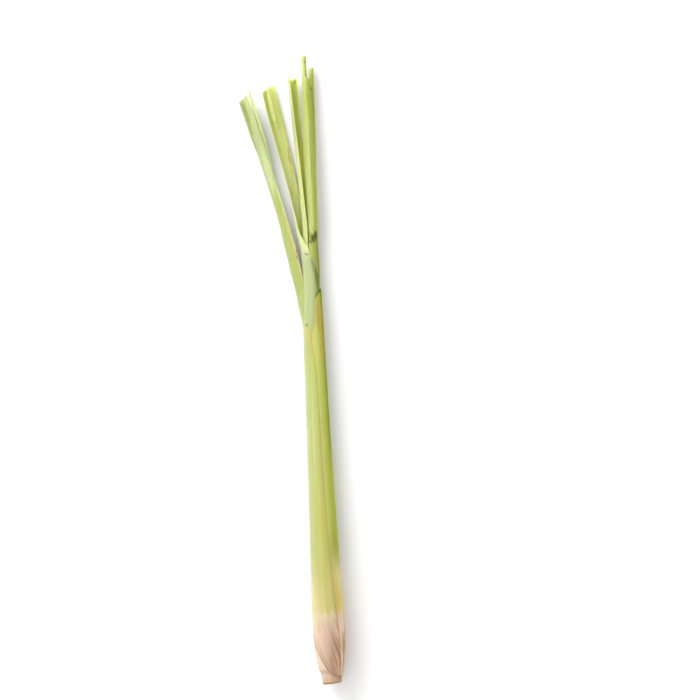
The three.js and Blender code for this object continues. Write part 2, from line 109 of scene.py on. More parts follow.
# Leaves from the outside in.
# margins: y, angle of the first edge and of the second; front is 1 where the first is on top
# collar, swell: where a sheath ends, and the length over which what it wraps comes up to it
# opening: where the leaf passes from sheath to blade
# blade: y, keel's x and z, the way it opens in degrees, fold, half-width
# keel: how softly the blade bends at its keel; under: share of its width on the second half
# tip: place across the leaf, from -1 to 1, and the cut's y there
# tear: place across, width, and where it begins and is full
# flank, wax, rim: how strong its painted shade on the right side is, its painted sheen in wax colour
# on the left side, and its browned edges
# columns, row_step: how finely it is made
# tones: y and colour
LEAVES = [
    {
        "node": "leaf_1", "slot": "outer_sheath",
        "collar": 97, "swell": 20, "opening": (93, 111), "front": 1, "keel": 0.3,
        "margins": [
            (-96, 38, 385), (-84, 46, 385), (-72, 52, 378), (-59, 58, 352), (-30, 67, 338),
            (-10, 72, 330), (20, 78, 316), (45, 79, 300), (66, 82, 280), (83, 93, 256),
            (93, 112, 238), (97, 122, 234), (101, 142, 234),
        ],
        "blade": [
            (110, -7.9, 4.3, 4, 62, 5.7), (118, -9.3, 4.1, -6, 50, 6.8),
            (127, -11.2, 3.9, -9, 42, 7.4), (141, -13.8, 3.5, -10, 34, 7),
            (155, -16.4, 3.2, -10, 34, 6.1), (168, -19.5, 3.1, -10, 34, 5.8),
            (182, -23.3, 3.1, -9, 30, 6), (192, -26.1, 3.2, -9, 27, 7.4),
            (202, -29.4, 3.5, -8, 24, 8.9), (226, -36.1, 3.5, -8, 24, 9.1),
        ],
        "tip": [
            (-1, 225), (-0.94, 227.9), (-0.88, 226.4), (-0.7, 224.9), (-0.5, 223), (-0.3, 221.8),
            (0, 220.4), (0.4, 219.8), (1, 219.6),
        ],
        "tear": (-0.8, 0.17, 211, 229), "under": 0.6,
        "columns": 160, "ribs": 17, "row_step": 1.5,
        "tones": [
            (-98, "root_tan"), (-86, "bulb_pink"), (-70, "bulb_blush"), (-63.5, "bulb_peach"),
            (-60.5, "straw"), (-38, "straw_green"), (-15, "sheath_green"), (60, "upper_green"),
            (92, "straw_green"), (104, "blade_green"), (150, "blade_green"), (168, "blade_green"),
            (184, "wax_green"), (206, "blade_wax"), (228, "wax_green"),
        ],
    },
    {
        "node": "leaf_2", "slot": "green_leaf",
        "collar": 116, "swell": 12, "front": -1,
        "flank": 1.0,
        "margins": [
            (-96, -160, 120), (-30, -155, 125), (40, -135, 122), (80, -121, 112), (94, -112, 97),
            (101, -100, 86), (110, -80, 76), (116, -62, 52),
        ],
        "tip": [(-1, 111), (-0.4, 115), (0, 116.2), (0.3, 116), (0.6, 114), (1, 110.5)],
        "columns": 112, "ribs": 14, "row_step": 1.8,
        # from -10 up its tones are lightened past the sheath's own green as painted light on its
        # shaded right side
        "tones": [
            (-98, "root_tan"), (-80, "bulb_pink"), (-66, "bulb_blush"), (-58, "straw"),
            (-36, "straw_green"), (-10, "lit_sheath_green"), (60, "lit_sheath_green"), (96, "lit_sheath_green"),
            (116, "lit_sheath_green"),
        ],
    },
    {
        "node": "leaf_3", "slot": "green_leaf",
        "collar": 135, "swell": 20, "opening": (135, 150), "front": 1, "keel": 0.5,
        "flank": 1.0, "rim": 0.3,
        "margins": [
            (-96, 10, 350), (40, 12, 345), (95, 5, 315), (112, 6, 292), (118, 8, 284), (124, 14, 276),
            (130, 44, 266), (134.5, 86, 252),
        ],
        "blade": [
            (148, -6.5, 3.8, 24, 60, 4.6), (160, -7.7, 3, 36, 66, 4.8),
            (171, -9, 2.6, 46, 74, 4.8), (190, -12.2, 2.2, 56, 88, 4.7),
            (210, -16.1, 1.9, 62, 92, 4.9), (226, -19.1, 1.7, 64, 92, 4.9),
        ],
        "tip": [(-1, 224.8), (-0.3, 226.8), (0.2, 228.1), (0.74, 229.1), (0.86, 229.9), (1, 228.6)],
        "tear": (0.8, 0.1, 223, 229),
        "columns": 88, "ribs": 13, "row_step": 1.8,
        # the fold's tones from 142 to 180 are lightened past the blade's own colour as painted light
        # in its shade
        "tones": [
            (-90, "straw"), (60, "straw_green"), (98, "wax_green"), (130, "wax_green"),
            (142, "lit_gutter_green"), (180, "lit_gutter_green"), (196, "young_green"),
            (214, "upper_green"), (229, "upper_green"),
        ],
    },
    {
        "node": "leaf_4", "slot": "green_leaf",
        "collar": 145, "swell": 90, "opening": (139, 151), "front": -1, "keel": 0.9,
        "flank": 0.7, "wax": 0.15, "rim": 0.3,
        "margins": [
            (-96, -130, 200), (40, -125, 190), (100, -95, 165), (125, -62, 125), (138, -30, 95),
            (145, -14, 86),
        ],
        "blade": [
            (150, 2.5, 9, 268, 84, 3.2), (165, 2.6, 8.9, 268, 84, 3.6), (187, 2.5, 8.6, 270, 84, 3.8),
            (209, 2.7, 8.2, 270, 86, 3.4), (232, 2.8, 7.6, 270, 92, 2.4),
        ],
        "tip": [(-1, 231.6), (0, 232.8), (0.6, 232.9), (1, 232.2)],
        "columns": 72, "ribs": 11, "row_step": 1.8,
        "tones": [
            (-90, "straw"), (60, "straw_green"), (118, "lime"), (142, "lime"),
            (150, "lime"), (190, "lime"), (233, "lime"),
        ],
    },
    {
        "node": "leaf_5", "slot": "green_leaf",
        "collar": 141, "swell": 90, "opening": (136, 152), "front": 1, "keel": 0.35,
        "rim": 0.3,
        "margins": [
            (-96, 0, 340), (40, 5, 335), (100, 30, 320), (125, 60, 285), (135, 86, 260),
            (141, 97, 240),
        ],
        "blade": [
            (152, -3, 5.7, 22, 24, 4.3), (165, -3.5, 5.5, 26, 38, 4.55), (185, -4.5, 5, 27, 45, 4.6),
            (205, -5.6, 4.6, 32, 49, 4.9), (232, -6.9, 4.1, 37, 58, 4.9),
        ],
        "tip": [(-1, 232.6), (-0.6, 233.4), (-0.2, 232), (0.3, 231.8), (1, 232.5)],
        "columns": 72, "ribs": 11, "row_step": 1.8,
        "tones": [
            (-90, "straw"), (60, "straw_green"), (120, "lit_sheath_green"), (150, "young_green"),
            (180, "young_green"), (205, "upper_green"), (233, "lime"),
        ],
    },
    {
        "node": "leaf_6", "slot": "green_leaf",
        "collar": 150, "swell": 10, "opening": (150, 167), "front": 1, "keel": 0.8,
        "margins": [
            (-96, -165, 170), (40, -155, 160), (100, -130, 130), (130, -100, 88), (148, -75, 55),
        ],
        "blade": [
            (164, 5.6, 4.1, 180, 40, 3), (180, 5.95, 4, 180, 34, 3.1), (200, 6.5, 3.9, 180, 28, 3.3),
            (220, 6.9, 3.8, 180, 20, 3.6), (237, 7.2, 3.7, 180, 16, 3.8),
        ],
        "tip": [(-1, 237), (-0.6, 237.5), (0, 237.6), (1, 236.8)],
        "columns": 72, "ribs": 11, "row_step": 1.8,
        "tones": [
            (-90, "straw"), (60, "straw_green"), (125, "olive"), (170, "olive"), (195, "lime"),
            (215, "olive"), (236, "lime"),
        ],
    },
]

BULB_LEAN = 0.3  # how far round the outer leaf its ribs lean at the foot, in half-widths
BULB_LEAN_FROM, BULB_LEAN_TO = -62, -94


def lerp(a, b, share):
    return a + (b - a) * share


def smooth(value, low, high):
    t = np.clip((np.asarray(value, float) - low) / (high - low), 0, 1)
    return t * t * (3 - 2 * t)


def along(stations, place, column=1):
    """Smooth curve through rising stations (place, value, ...), level beyond its ends."""
    table = np.asarray(stations, float)
    at, value = table[:, 0], table[:, column]
    place = np.asarray(place, float)
    low = np.clip(np.searchsorted(at, place, side="right") - 1, 0, len(at) - 2)
    high = low + 1
    before = np.maximum(low - 1, 0)
    after = np.minimum(high + 1, len(at) - 1)
    span = at[high] - at[low]
    rise = value[high] - value[low]
    slope_low = (value[high] - value[before]) / (at[high] - at[before])
    slope_high = (value[after] - value[low]) / (at[after] - at[low])
    t = np.clip((place - at[low]) / span, 0, 1)
    bend = (1 - t) * (slope_low * span - rise) - t * (slope_high * span - rise)
    return value[low] + rise * t + t * (1 - t) * bend


def radius_at(y):
    return along(RADIUS, y)


def centre_x(y):
    return along(CENTRE_X, y)


def centre_z(y):
    resting = radius_at(np.maximum(y, BULB_FULL)) - SINK
    return lerp(STUB_CENTRE_Z, resting, smooth(y, CUT, BULB_FULL))


def pitch_at(y):
    """Distance from the outside of one sheath to the outside of the next one in."""
    room = (radius_at(y) - along(HEART_RADIUS, y) - GAP) / LAYERS
    return lerp(np.maximum(room, SOLID_WALL + GAP), LOOSE_PITCH, smooth(y, *LOOSE))


def scar_at(angle):
    lean = (1 + np.cos(np.radians(angle - SCAR_TURN))) / 2
    return lerp(SCAR_LOW, SCAR_HIGH, lean**SCAR_SHARP)


def edge_angle(leaf, y, front):
    """Angle of a sheath's edge on top of the stalk, or of the one under it."""
    return along(leaf["margins"], y, 1 if (leaf["front"] == 1) == front else 2)


def wraps(leaf, y):
    return 1 - smooth(y, leaf["collar"], leaf["collar"] + leaf["swell"])


def uncovered(leaf, angle, y):
    """How far the sheath inside this one is free of it at an angle, from 0 to 1."""
    beyond_front = (edge_angle(leaf, y, True) - angle) * leaf["front"]
    back = edge_angle(leaf, y, False) - leaf["front"] * 360
    beyond_back = (angle - back) * leaf["front"]
    low, high = EDGE_BAND[0], sum(EDGE_BAND)
    return smooth(beyond_front, low, high) * smooth(beyond_back, low, high)


def depth_at(order, angle, y):
    """Depth of a sheath under all those outside it; it comes up beside their edges."""
    covers = np.zeros_like(y)
    for cover in LEAVES[:order]:
        covers = covers + wraps(cover, y) * (1 - uncovered(cover, angle, y))
    return covers * pitch_at(y)


def sheath_angle(leaf, across, y):
    first = along(leaf["margins"], y, 1)
    second = along(leaf["margins"], y, 2)
    return lerp(first, second, (across + 1) / 2)


def edge_lift(leaf, angle, y):
    """How far a sheath's thin edge stands up over the sheath beneath it."""
    radius = radius_at(y)
    lift = np.zeros_like(y)
    for front in (True, False):
        reach = np.abs(angle - edge_angle(leaf, y, front)) * np.pi / 180 * radius
        lift = np.maximum(lift, EDGE_LIFT * (1 - smooth(reach, 0, EDGE_SLOPE)))
    return lift


def blade_point(leaf, across, y):
    """Blade section: two halves folded about the keel, drawn by turning the way it runs."""
    x, z, opens, fold, half_width = (along(leaf["blade"], y, k) for k in range(1, 6))
    turn = 90 - fold / 2
    reach = np.where(across > 0, across * leaf.get("under", 1), across)
    for i in range(HALF_STEPS):
        at = across * (i + 0.5) / HALF_STEPS
        share = np.tanh(at / leaf["keel"]) / np.tanh(1 / leaf["keel"])
        way = np.radians(opens - 90 + turn * share)
        x = x + reach * half_width / HALF_STEPS * np.cos(way)
        z = z + reach * half_width / HALF_STEPS * np.sin(way)
    return x, z


def leaf_point(leaf, across, y):
    order = LEAVES.index(leaf)
    angle = sheath_angle(leaf, across, y)
    depth = depth_at(order, angle, y)
    radius = radius_at(y) - depth + edge_lift(leaf, angle, y)
    if not order:
        radius = radius - FOOT_SUNK * (1 - smooth(y - scar_at(angle), -FOOT_SUNK, FOOT_RISE))
    x = centre_x(y) + radius * np.cos(np.radians(angle))
    ribs = bpy.context.scene.lemongrass.rib_height / MM
    z = np.maximum(centre_z(y) + radius * np.sin(np.radians(angle)), depth + ribs)
    if "blade" not in leaf:
        return x, z
    opened = smooth(y, *leaf["opening"])
    blade_x, blade_z = blade_point(leaf, across, y)
    return lerp(x, blade_x, opened), lerp(z, blade_z, opened)


def foot_at(leaf, across):
    """Foot of a leaf: the outer one grows from the scar, the others stand over the cone."""
    order = LEAVES.index(leaf)
    rise = FOOT_GAP + order * pitch_at(BULB_FULL) if order > 1 else -FOOT_SUNK
    guess = scar_at(sheath_angle(leaf, across, np.full_like(across, OBLIQUE_FOOT))) + rise
    for _ in range(6):
        angle = sheath_angle(leaf, across, guess)
        guess = scar_at(angle) + rise
    if order < 2:
        return guess
    slope = np.abs(scar_at(angle + 5) - scar_at(angle - 5)) / 10
    return guess + slope * STEEP_GAP


# Meshes ------------------------------------------------------------------------------------

def column_places(leaf):
    """Across positions of the columns, closer together at the margins."""
    even = np.linspace(-1, 1, leaf["columns"] + 1)
    gathered = 0.28
    return (1 - gathered) * even + gathered * np.sin(even * np.pi / 2)


def tear_column(leaf):
    """The column just left of a leaf's tear."""
    return int(np.searchsorted(column_places(leaf), leaf["tear"][0])) - 1


def torn_apart(leaf, across, rows):
    """Columns moved apart at a tear: its two sides keep all of the leaf between them."""
    middle, opening, bottom, top = leaf["tear"]
    left = tear_column(leaf)
    width = lerp(TEAR_START, opening, smooth(rows, bottom, top))[:, None]
    gathered = smooth(rows, bottom - TEAR_GATHERS, bottom)[:, None]
    before, after = across[left], across[left + 1]
    left_part = -1 + (across + 1) * (middle - width / 2 + 1) / (before + 1)
    right_part = 1 - (1 - across) * (1 - middle - width / 2) / (1 - after)
    moved = np.where(np.arange(len(across)) <= left, left_part, right_part)
    return lerp(across[None, :], moved, gathered)


def leaf_rows(leaf, across, ragged):
    """Row of each point before the foot and the tip move it, its y, and the y of the cut there."""
    last = max(y for _, y in leaf["tip"])
    low = np.linspace(FOOT_ROWS_FROM, OBLIQUE_FOOT, FOOT_ROWS)[:-1]
    count = int((last - OBLIQUE_FOOT) / leaf["row_step"])
    rows = np.concatenate([low, np.linspace(OBLIQUE_FOOT, last, count)])
    across = np.repeat(across[None, :], len(rows), axis=0)
    if "tear" in leaf:
        across = torn_apart(leaf, across[0], rows)
    row = np.repeat(rows[:, None], across.shape[1], axis=1)
    foot_share = (row - FOOT_ROWS_FROM) / (OBLIQUE_FOOT - FOOT_ROWS_FROM)
    foot = lerp(foot_at(leaf, across), OBLIQUE_FOOT, foot_share)
    turns_at = last - TIP_LENGTH
    tip = along(leaf["tip"], across)
    fast, slow = RAGGED_WAVES
    tip = tip + ragged * np.sin(across * fast + 2) * np.sin(across * slow) * 0.5
    top = lerp(turns_at, tip, (row - turns_at) / (last - turns_at))
    y = np.where(row < OBLIQUE_FOOT, foot, np.where(row > turns_at, top, row))
    return across, row, y, tip


def facing_out(leaf, across, y):
    """Which way a leaf's outer side faces at each point."""
    ax, az = leaf_point(leaf, np.clip(across - SIDE_STEP, -1, 1), y)
    bx, bz = leaf_point(leaf, np.clip(across + SIDE_STEP, -1, 1), y)
    length = np.hypot(bx - ax, bz - az)
    return np.stack([(bz - az) / length, np.zeros_like(y), (ax - bx) / length], axis=-1)


def leaf_grid(leaf, ragged):
    """Outer side of a leaf as rows of columns, with what its ribs and finish follow."""
    across, row, y, tip = leaf_rows(leaf, column_places(leaf), ragged)
    x, z = leaf_point(leaf, across, y)
    points = np.stack([x, y, z], axis=-1)
    stretch = np.linalg.norm(np.diff(points, axis=1), axis=-1)
    reach = np.concatenate([np.zeros((len(row), 1)), np.cumsum(stretch, axis=1)], axis=1)
    edge = np.minimum(reach, reach[:, -1:] - reach)
    if "tear" in leaf:
        left = tear_column(leaf)
        torn = np.abs(reach - reach[:, left:left + 1])
        torn = np.minimum(torn, np.abs(reach - reach[:, left + 1:left + 2]))
        edge = np.where(row >= leaf["tear"][2], np.minimum(edge, torn), edge)
    middle = np.argmin(np.abs(across[0]))
    fibre = across.copy()
    if leaf is LEAVES[0]:
        fibre = fibre + BULB_LEAN * smooth(-y, -BULB_LEAN_FROM, -BULB_LEAN_TO)
    values = {
        "fibre": fibre,
        "lengthwise": y,
        "edge": edge,
        "keel": np.abs(reach - reach[:, middle:middle + 1]),
        "cut": tip - y,
        "foot": y - foot_at(leaf, across),
        "free": smooth(y, *leaf["opening"]) if "blade" in leaf else np.zeros_like(y),
    }
    return points, facing_out(leaf, across, y), values, row


def store(mesh, key, value):
    """A number for each of a mesh's points, under a name."""
    attribute = mesh.attributes.new(key, "FLOAT", "POINT")
    attribute.data.foreach_set("value", np.asarray(value, np.float32).ravel())


def store_way(mesh, key, ways):
    """A direction for each of a mesh's points, under a name."""
    attribute = mesh.attributes.new(key, "FLOAT_VECTOR", "POINT")
    attribute.data.foreach_set("vector", np.asarray(ways, np.float32).ravel())


def grid_mesh(name, points, values, outward, missing):
    """An open sheet of quads facing outwards, with its values as attributes of its points."""
    rows, columns = points.shape[:2]
    corner = np.arange(rows * columns).reshape(rows, columns)
    a, b = corner[:-1, :-1], corner[:-1, 1:]
    c, d = corner[1:, 1:], corner[1:, :-1]
    quads = np.stack([a, d, c, b], axis=-1)[~missing]
    mesh = bpy.data.meshes.new(name)
    mesh.from_pydata((points.reshape(-1, 3) * MM).tolist(), [], quads.tolist())
    for key, value in values.items():
        store(mesh, key, value)
    store_way(mesh, "outward", outward)
    return mesh


def ring_mesh(name, rings, first_pole, last_pole, values):
    """Rings of points from a first pole to a last pole, closed into one body."""
    count, sides = rings.shape[:2]
    points = np.concatenate([rings.reshape(-1, 3), [first_pole], [last_pole]])
    faces = []
    for side in range(sides):
        beside = (side + 1) % sides
        faces.append((count * sides, side, beside))
        for ring in range(count - 1):
            a, b = ring * sides + side, ring * sides + beside
            faces.append((a, a + sides, b + sides, b))
        top = (count - 1) * sides
        faces.append((count * sides + 1, top + beside, top + side))
    mesh = bpy.data.meshes.new(name)
    mesh.from_pydata((points * MM).tolist(), [], faces)
    for key, value in values.items():
        store(mesh, key, np.append(value.ravel(), [value[0].mean(), value[-1].mean()]))
    mesh.shade_smooth()
    return mesh


def add_object(name, mesh):
    piece = bpy.data.objects.new(name, mesh)
    bpy.context.scene.collection.objects.link(piece)
    return piece


def grown(piece, tree, inputs):
    """The piece as its geometry tree makes it, as a plain smooth mesh."""
    modifier = piece.modifiers.new(tree.name, "NODES")
    modifier.node_group = tree
    for item in tree.interface.items_tree:
        if item.item_type == "SOCKET" and item.in_out == "INPUT" and item.name in inputs:
            modifier[item.identifier] = inputs[item.name]
    bpy.context.view_layer.update()
    depsgraph = bpy.context.evaluated_depsgraph_get()
    mesh = bpy.data.meshes.new_from_object(piece.evaluated_get(depsgraph), depsgraph=depsgraph)
    piece.modifiers.remove(modifier)
    piece.data = mesh
    mesh.name = piece.name
    return piece


# Wiring of node trees ----------------------------------------------------------------------

class Wiring:
    """Adds nodes to a tree: an input that is a socket is linked, and any other is set."""

    def __init__(self, tree):
        self.tree = tree

    def node(self, kind, inputs=None, **settings):
        node = self.tree.nodes.new(kind)
        for name, value in settings.items():
            setattr(node, name, value)
        for key, value in (inputs or {}).items():
            if isinstance(value, bpy.types.NodeSocket):
                self.tree.links.new(value, node.inputs[key])
            else:
                node.inputs[key].default_value = value
        return node

    def math(self, operation, a, b=0.0):
        return self.node("ShaderNodeMath", {0: a, 1: b}, operation=operation).outputs[0]

    def times(self, value, *others):
        """Product of two or more values."""
        for other in others:
            value = self.math("MULTIPLY", value, other)
        return value

    def less(self, value):
        """What a share leaves of 1."""
        return self.math("SUBTRACT", 1.0, value)

    def vector(self, operation, a, b):
        return self.node("ShaderNodeVectorMath", {0: a, 1: b}, operation=operation).outputs[0]

    def scaled(self, vector, factor):
        node = self.node("ShaderNodeVectorMath", {0: vector, "Scale": factor}, operation="SCALE")
        return node.outputs[0]

    def combine(self, x, y, z=0.0):
        return self.node("ShaderNodeCombineXYZ", {0: x, 1: y, 2: z}).outputs[0]

    def straight(self, value, low, high, start=0.0, end=1.0, kind="LINEAR"):
        """start up to low, end past high, and an even passage between; low may be the higher."""
        inputs = {"Value": value, "From Min": low, "From Max": high, "To Min": start, "To Max": end}
        return self.node("ShaderNodeMapRange", inputs, interpolation_type=kind).outputs[0]

    def ease(self, value, low, high, start=0.0, end=1.0):
        """The same with a smooth passage, for a low under its high."""
        return self.straight(value, low, high, start, end, "SMOOTHSTEP")

    def noise(self, vector, scale, detail=2.0, roughness=0.5):
        inputs = {"Vector": vector, "Scale": scale, "Detail": detail, "Roughness": roughness}
        return self.node("ShaderNodeTexNoise", inputs).outputs["Fac"]

    def mix(self, factor, a, b, blend="MIX"):
        inputs = {0: factor, 6: a, 7: b}
        node = self.node("ShaderNodeMix", inputs, data_type="RGBA", blend_type=blend)
        return node.outputs[2]

    def colour_product(self, colour, second_colour):
        """A colour multiplied by another colour."""
        return self.mix(1.0, colour, (*second_colour, 1), "MULTIPLY")

    def tinted(self, factor, colour, second_colour):
        return self.mix(factor, colour, self.colour_product(colour, second_colour))

    def place(self):
        return self.node("ShaderNodeTexCoord").outputs["Object"]

    def bump(self, height, strength, distance):
        inputs = {"Strength": strength, "Distance": distance, "Height": height}
        return self.node("ShaderNodeBump", inputs).outputs[0]

    def read(self, name, kind="Fac"):
        """A value stored on the mesh, in a material."""
        return self.node("ShaderNodeAttribute", attribute_name=name).outputs[kind]

    def field(self, name, kind="FLOAT"):
        """A value stored on the mesh's points, in a geometry tree."""
        node = self.node("GeometryNodeInputNamedAttribute", {"Name": name}, data_type=kind)
        return node.outputs["Attribute"]

    def streaks(self, across, lengthwise, scale, detail, roughness):
        """Noise drawn out along a piece's fibres: how fast it changes across and along them."""
        at = self.combine(
            self.times(self.read("fibre"), across), self.times(self.read("lengthwise"), lengthwise)
        )
        return self.noise(at, scale, detail, roughness)


def new_tree(name, inputs):
    """A geometry tree with its named inputs: (name, socket type, default)."""
    tree = bpy.data.node_groups.new(name, "GeometryNodeTree")
    tree.interface.new_socket("Geometry", in_out="OUTPUT", socket_type="NodeSocketGeometry")
    tree.interface.new_socket("Geometry", in_out="INPUT", socket_type="NodeSocketGeometry")
    for label, kind, default in inputs:
        socket = tree.interface.new_socket(label, in_out="INPUT", socket_type=kind)
        if default is not None:
            socket.default_value = default
    return tree, Wiring(tree), tree.nodes.new("NodeGroupInput").outputs


def end_tree(wire, geometry, material):
    realized = wire.node("GeometryNodeRealizeInstances", {0: geometry})
    inputs = {"Geometry": realized.outputs[0], "Material": material}
    painted = wire.node("GeometryNodeSetMaterial", inputs)
    smooth_shaded = wire.node("GeometryNodeSetShadeSmooth", {0: painted.outputs[0]})
    wire.node("NodeGroupOutput", {0: smooth_shaded.outputs[0]})


def leaf_wall_tree():
    """Raises ribs and a ripple on a leaf's outer side and gives it its wall and midrib."""
    tree, wire, given = new_tree("leaf_wall", [
        ("Ribs", "NodeSocketFloat", 12.0),
        ("Rib Height", "NodeSocketFloat", 0.00005),
        ("Wall", "NodeSocketFloat", 0.0003),
        ("Margin", "NodeSocketFloat", 0.0001),
        ("Midrib", "NodeSocketFloat", 0.0002),
        ("Ripple", "NodeSocketFloat", 0.0001),
        ("Seed", "NodeSocketFloat", 0.0),
        ("Material", "NodeSocketMaterial", None),
    ])
    outward = wire.field("outward", "FLOAT_VECTOR")
    edge = wire.field("edge")
    free = wire.field("free")
    lengthwise = wire.field("lengthwise")
    turns = wire.times(wire.field("fibre"), given["Ribs"], FULL_TURN)
    rib = wire.times(wire.math("SINE", turns), given["Rib Height"], wire.ease(edge, 0.2, 1.2))
    place = wire.combine(wire.times(lengthwise, 0.05), wire.field("fibre"), given["Seed"])
    wave = wire.math("SUBTRACT", wire.noise(place, 1.6), 0.5)
    wave = wire.times(wave, wire.times(given["Ripple"], free))
    rise = wire.math("ADD", rib, wave)
    moved = wire.node("GeometryNodeSetPosition", {
        "Geometry": given["Geometry"],
        "Offset": wire.scaled(outward, rise),
    })
    body = wire.ease(edge, 0, 1.6, given["Margin"], given["Wall"])
    midrib = wire.times(wire.straight(wire.field("keel"), 0.9, 0), free)
    body = wire.math("ADD", body, wire.times(midrib, given["Midrib"]))
    flipped = wire.node("GeometryNodeFlipFaces", {0: moved.outputs[0]})
    extruded = wire.node("GeometryNodeExtrudeMesh", {
        "Mesh": flipped.outputs[0],
        "Offset": wire.scaled(outward, -1.0),
        "Offset Scale": body,
        "Individual": False,
    })
    marked = wire.node("GeometryNodeStoreNamedAttribute", {
        "Geometry": extruded.outputs["Mesh"],
        "Selection": extruded.outputs["Top"],
        "Name": "inside",
        "Value": 1.0,
    }, data_type="FLOAT", domain="FACE")
    joined = wire.node("GeometryNodeJoinGeometry")
    tree.links.new(marked.outputs[0], joined.inputs[0])
    tree.links.new(moved.outputs[0], joined.inputs[0])
    merged = wire.node("GeometryNodeMergeByDistance", {0: joined.outputs[0], "Distance": 1e-6})
    end_tree(wire, merged.outputs[0], given["Material"])
    return tree


def fringe_tree():
    """Stands a fine tapered fibre on every point, along the way that the point stores."""
    tree, wire, given = new_tree("fringe", [
        ("Length", "NodeSocketFloat", 0.0006),
        ("Thickness", "NodeSocketFloat", 0.00006),
        ("Spread", "NodeSocketFloat", 0.4),
        ("Seed", "NodeSocketInt", 1),
        ("Material", "NodeSocketMaterial", None),
    ])
    fibre = wire.node("GeometryNodeMeshCone", {
        "Vertices": 5,
        "Side Segments": 3,
        "Radius Top": 0.12,
        "Radius Bottom": 0.5,
        "Depth": 1.0,
    })
    spread = wire.node("FunctionNodeRandomValue", {
        0: (-1.0, -1.0, -1.0),
        1: (1.0, 1.0, 1.0),
        "Seed": given["Seed"],
    }, data_type="FLOAT_VECTOR")
    way = wire.vector("ADD", wire.field("grow", "FLOAT_VECTOR"),
                      wire.scaled(spread.outputs[0], given["Spread"]))
    turned = wire.node("FunctionNodeAlignRotationToVector", {"Vector": way}, axis="Z")
    size = wire.node("FunctionNodeRandomValue", {2: 0.35, 3: 1.0, "Seed": given["Seed"]})
    length = wire.times(size.outputs[1], given["Length"])
    stood = wire.node("GeometryNodeInstanceOnPoints", {
        "Points": given["Geometry"],
        "Instance": fibre.outputs["Mesh"],
        "Rotation": turned.outputs[0],
        "Scale": wire.combine(given["Thickness"], given["Thickness"], length),
    })
    end_tree(wire, stood.outputs[0], given["Material"])
    return tree


# Finish, with painted light and shade ---------------------------------------------------------

PLANT_SHARE = 0.64  # of a screen colour's light, as the floor is lit past white


def shown(red, green, blue):
    """Linear base colour that shows as this screen colour where the light falls full on it."""
    screen = np.array([red, green, blue]) / 255
    linear = np.where(screen > 0.04045, ((screen + 0.055) / 1.055) ** 2.4, screen / 12.92)
    return tuple(float(c) * PLANT_SHARE for c in linear)


PALETTE = [
    ("root_tan", "Stem near the cut", (214, 184, 150)),
    ("root_rose", "Rosy lines round the bulb", (196, 138, 98)),
    ("bulb_pink", "Bulb's rosy tan", (222, 192, 165)),
    ("bulb_blush", "Bulb's paler rose", (238, 211, 184)),
    ("bulb_peach", "Where the bulb's rose ends", (246, 229, 190)),
    ("bulb_cream", "Cream above the bulb", (229, 211, 160)),
    # The next three colours are lighter than the bulb's own rose, amber and straw: partly its own
    # colour, partly painted light that lifts its shaded right side
    ("rose_painted_light", "Right side of the bulb", (292, 240, 212)),
    ("amber_painted_light", "Amber side above the bulb", (270, 237, 140)),
    ("straw_painted_light", "Straw side of the lower stalk", (290, 273, 192)),
    ("straw", "Straw where the bulb turns green", (229, 220, 138)),
    ("straw_green", "Straw green of the lower stalk", (214, 212, 116)),
    ("sheath_green", "Outer sheath", (215, 213, 114)),
    ("upper_green", "Outer sheath towards its collar", (211, 221, 124)),
    ("lime", "Brightest yellow-green", (210, 220, 118)),
    # lighter than the inner sheaths' own green: painted light that lifts them where they lie in shade
    ("lit_sheath_green", "Inner sheath beside the outer one", (234, 240, 130)),
    ("blade_green", "Leaf blades", (198, 209, 118)),
    ("blade_wax", "Waxy outer blade", (212, 221, 166)),
    # painted shade: the shaded inside of the outer blade's fold, and thin shadows under its upper edge
    ("blade_shade_olive", "Darker strip along the outer blade", (158, 174, 92)),
    ("wax_green", "Blue-green under its wax", (204, 216, 152)),
    ("wax_pale", "Palest wax on the outer blade", (226, 238, 180)),
    # lighter than the blade's own colour: painted light in the shaded fold of a blade
    ("lit_gutter_pale", "Palest streak in the folded blade", (266, 274, 206)),
    ("young_green", "Young leaf inside the fan", (236, 245, 152)),
    # lighter than the blade's own colour: painted light inside a blade's shaded fold
    ("lit_gutter_green", "Inner side of a folded blade", (248, 254, 186)),
    ("olive", "Darkest blade", (198, 214, 92)),
    ("dry_tan", "Dried patches", (214, 203, 124)),
    ("orange_brown", "Rusty patches", (234, 203, 76)),
    ("rust", "Browned line along a sheath's edge", (214, 150, 84)),
    ("brown", "Browned edges", (152, 102, 64)),
    ("bruise", "Bruises", (96, 106, 30)),
    ("bloom", "Pale waxy scuffs", (236, 240, 214)),
]

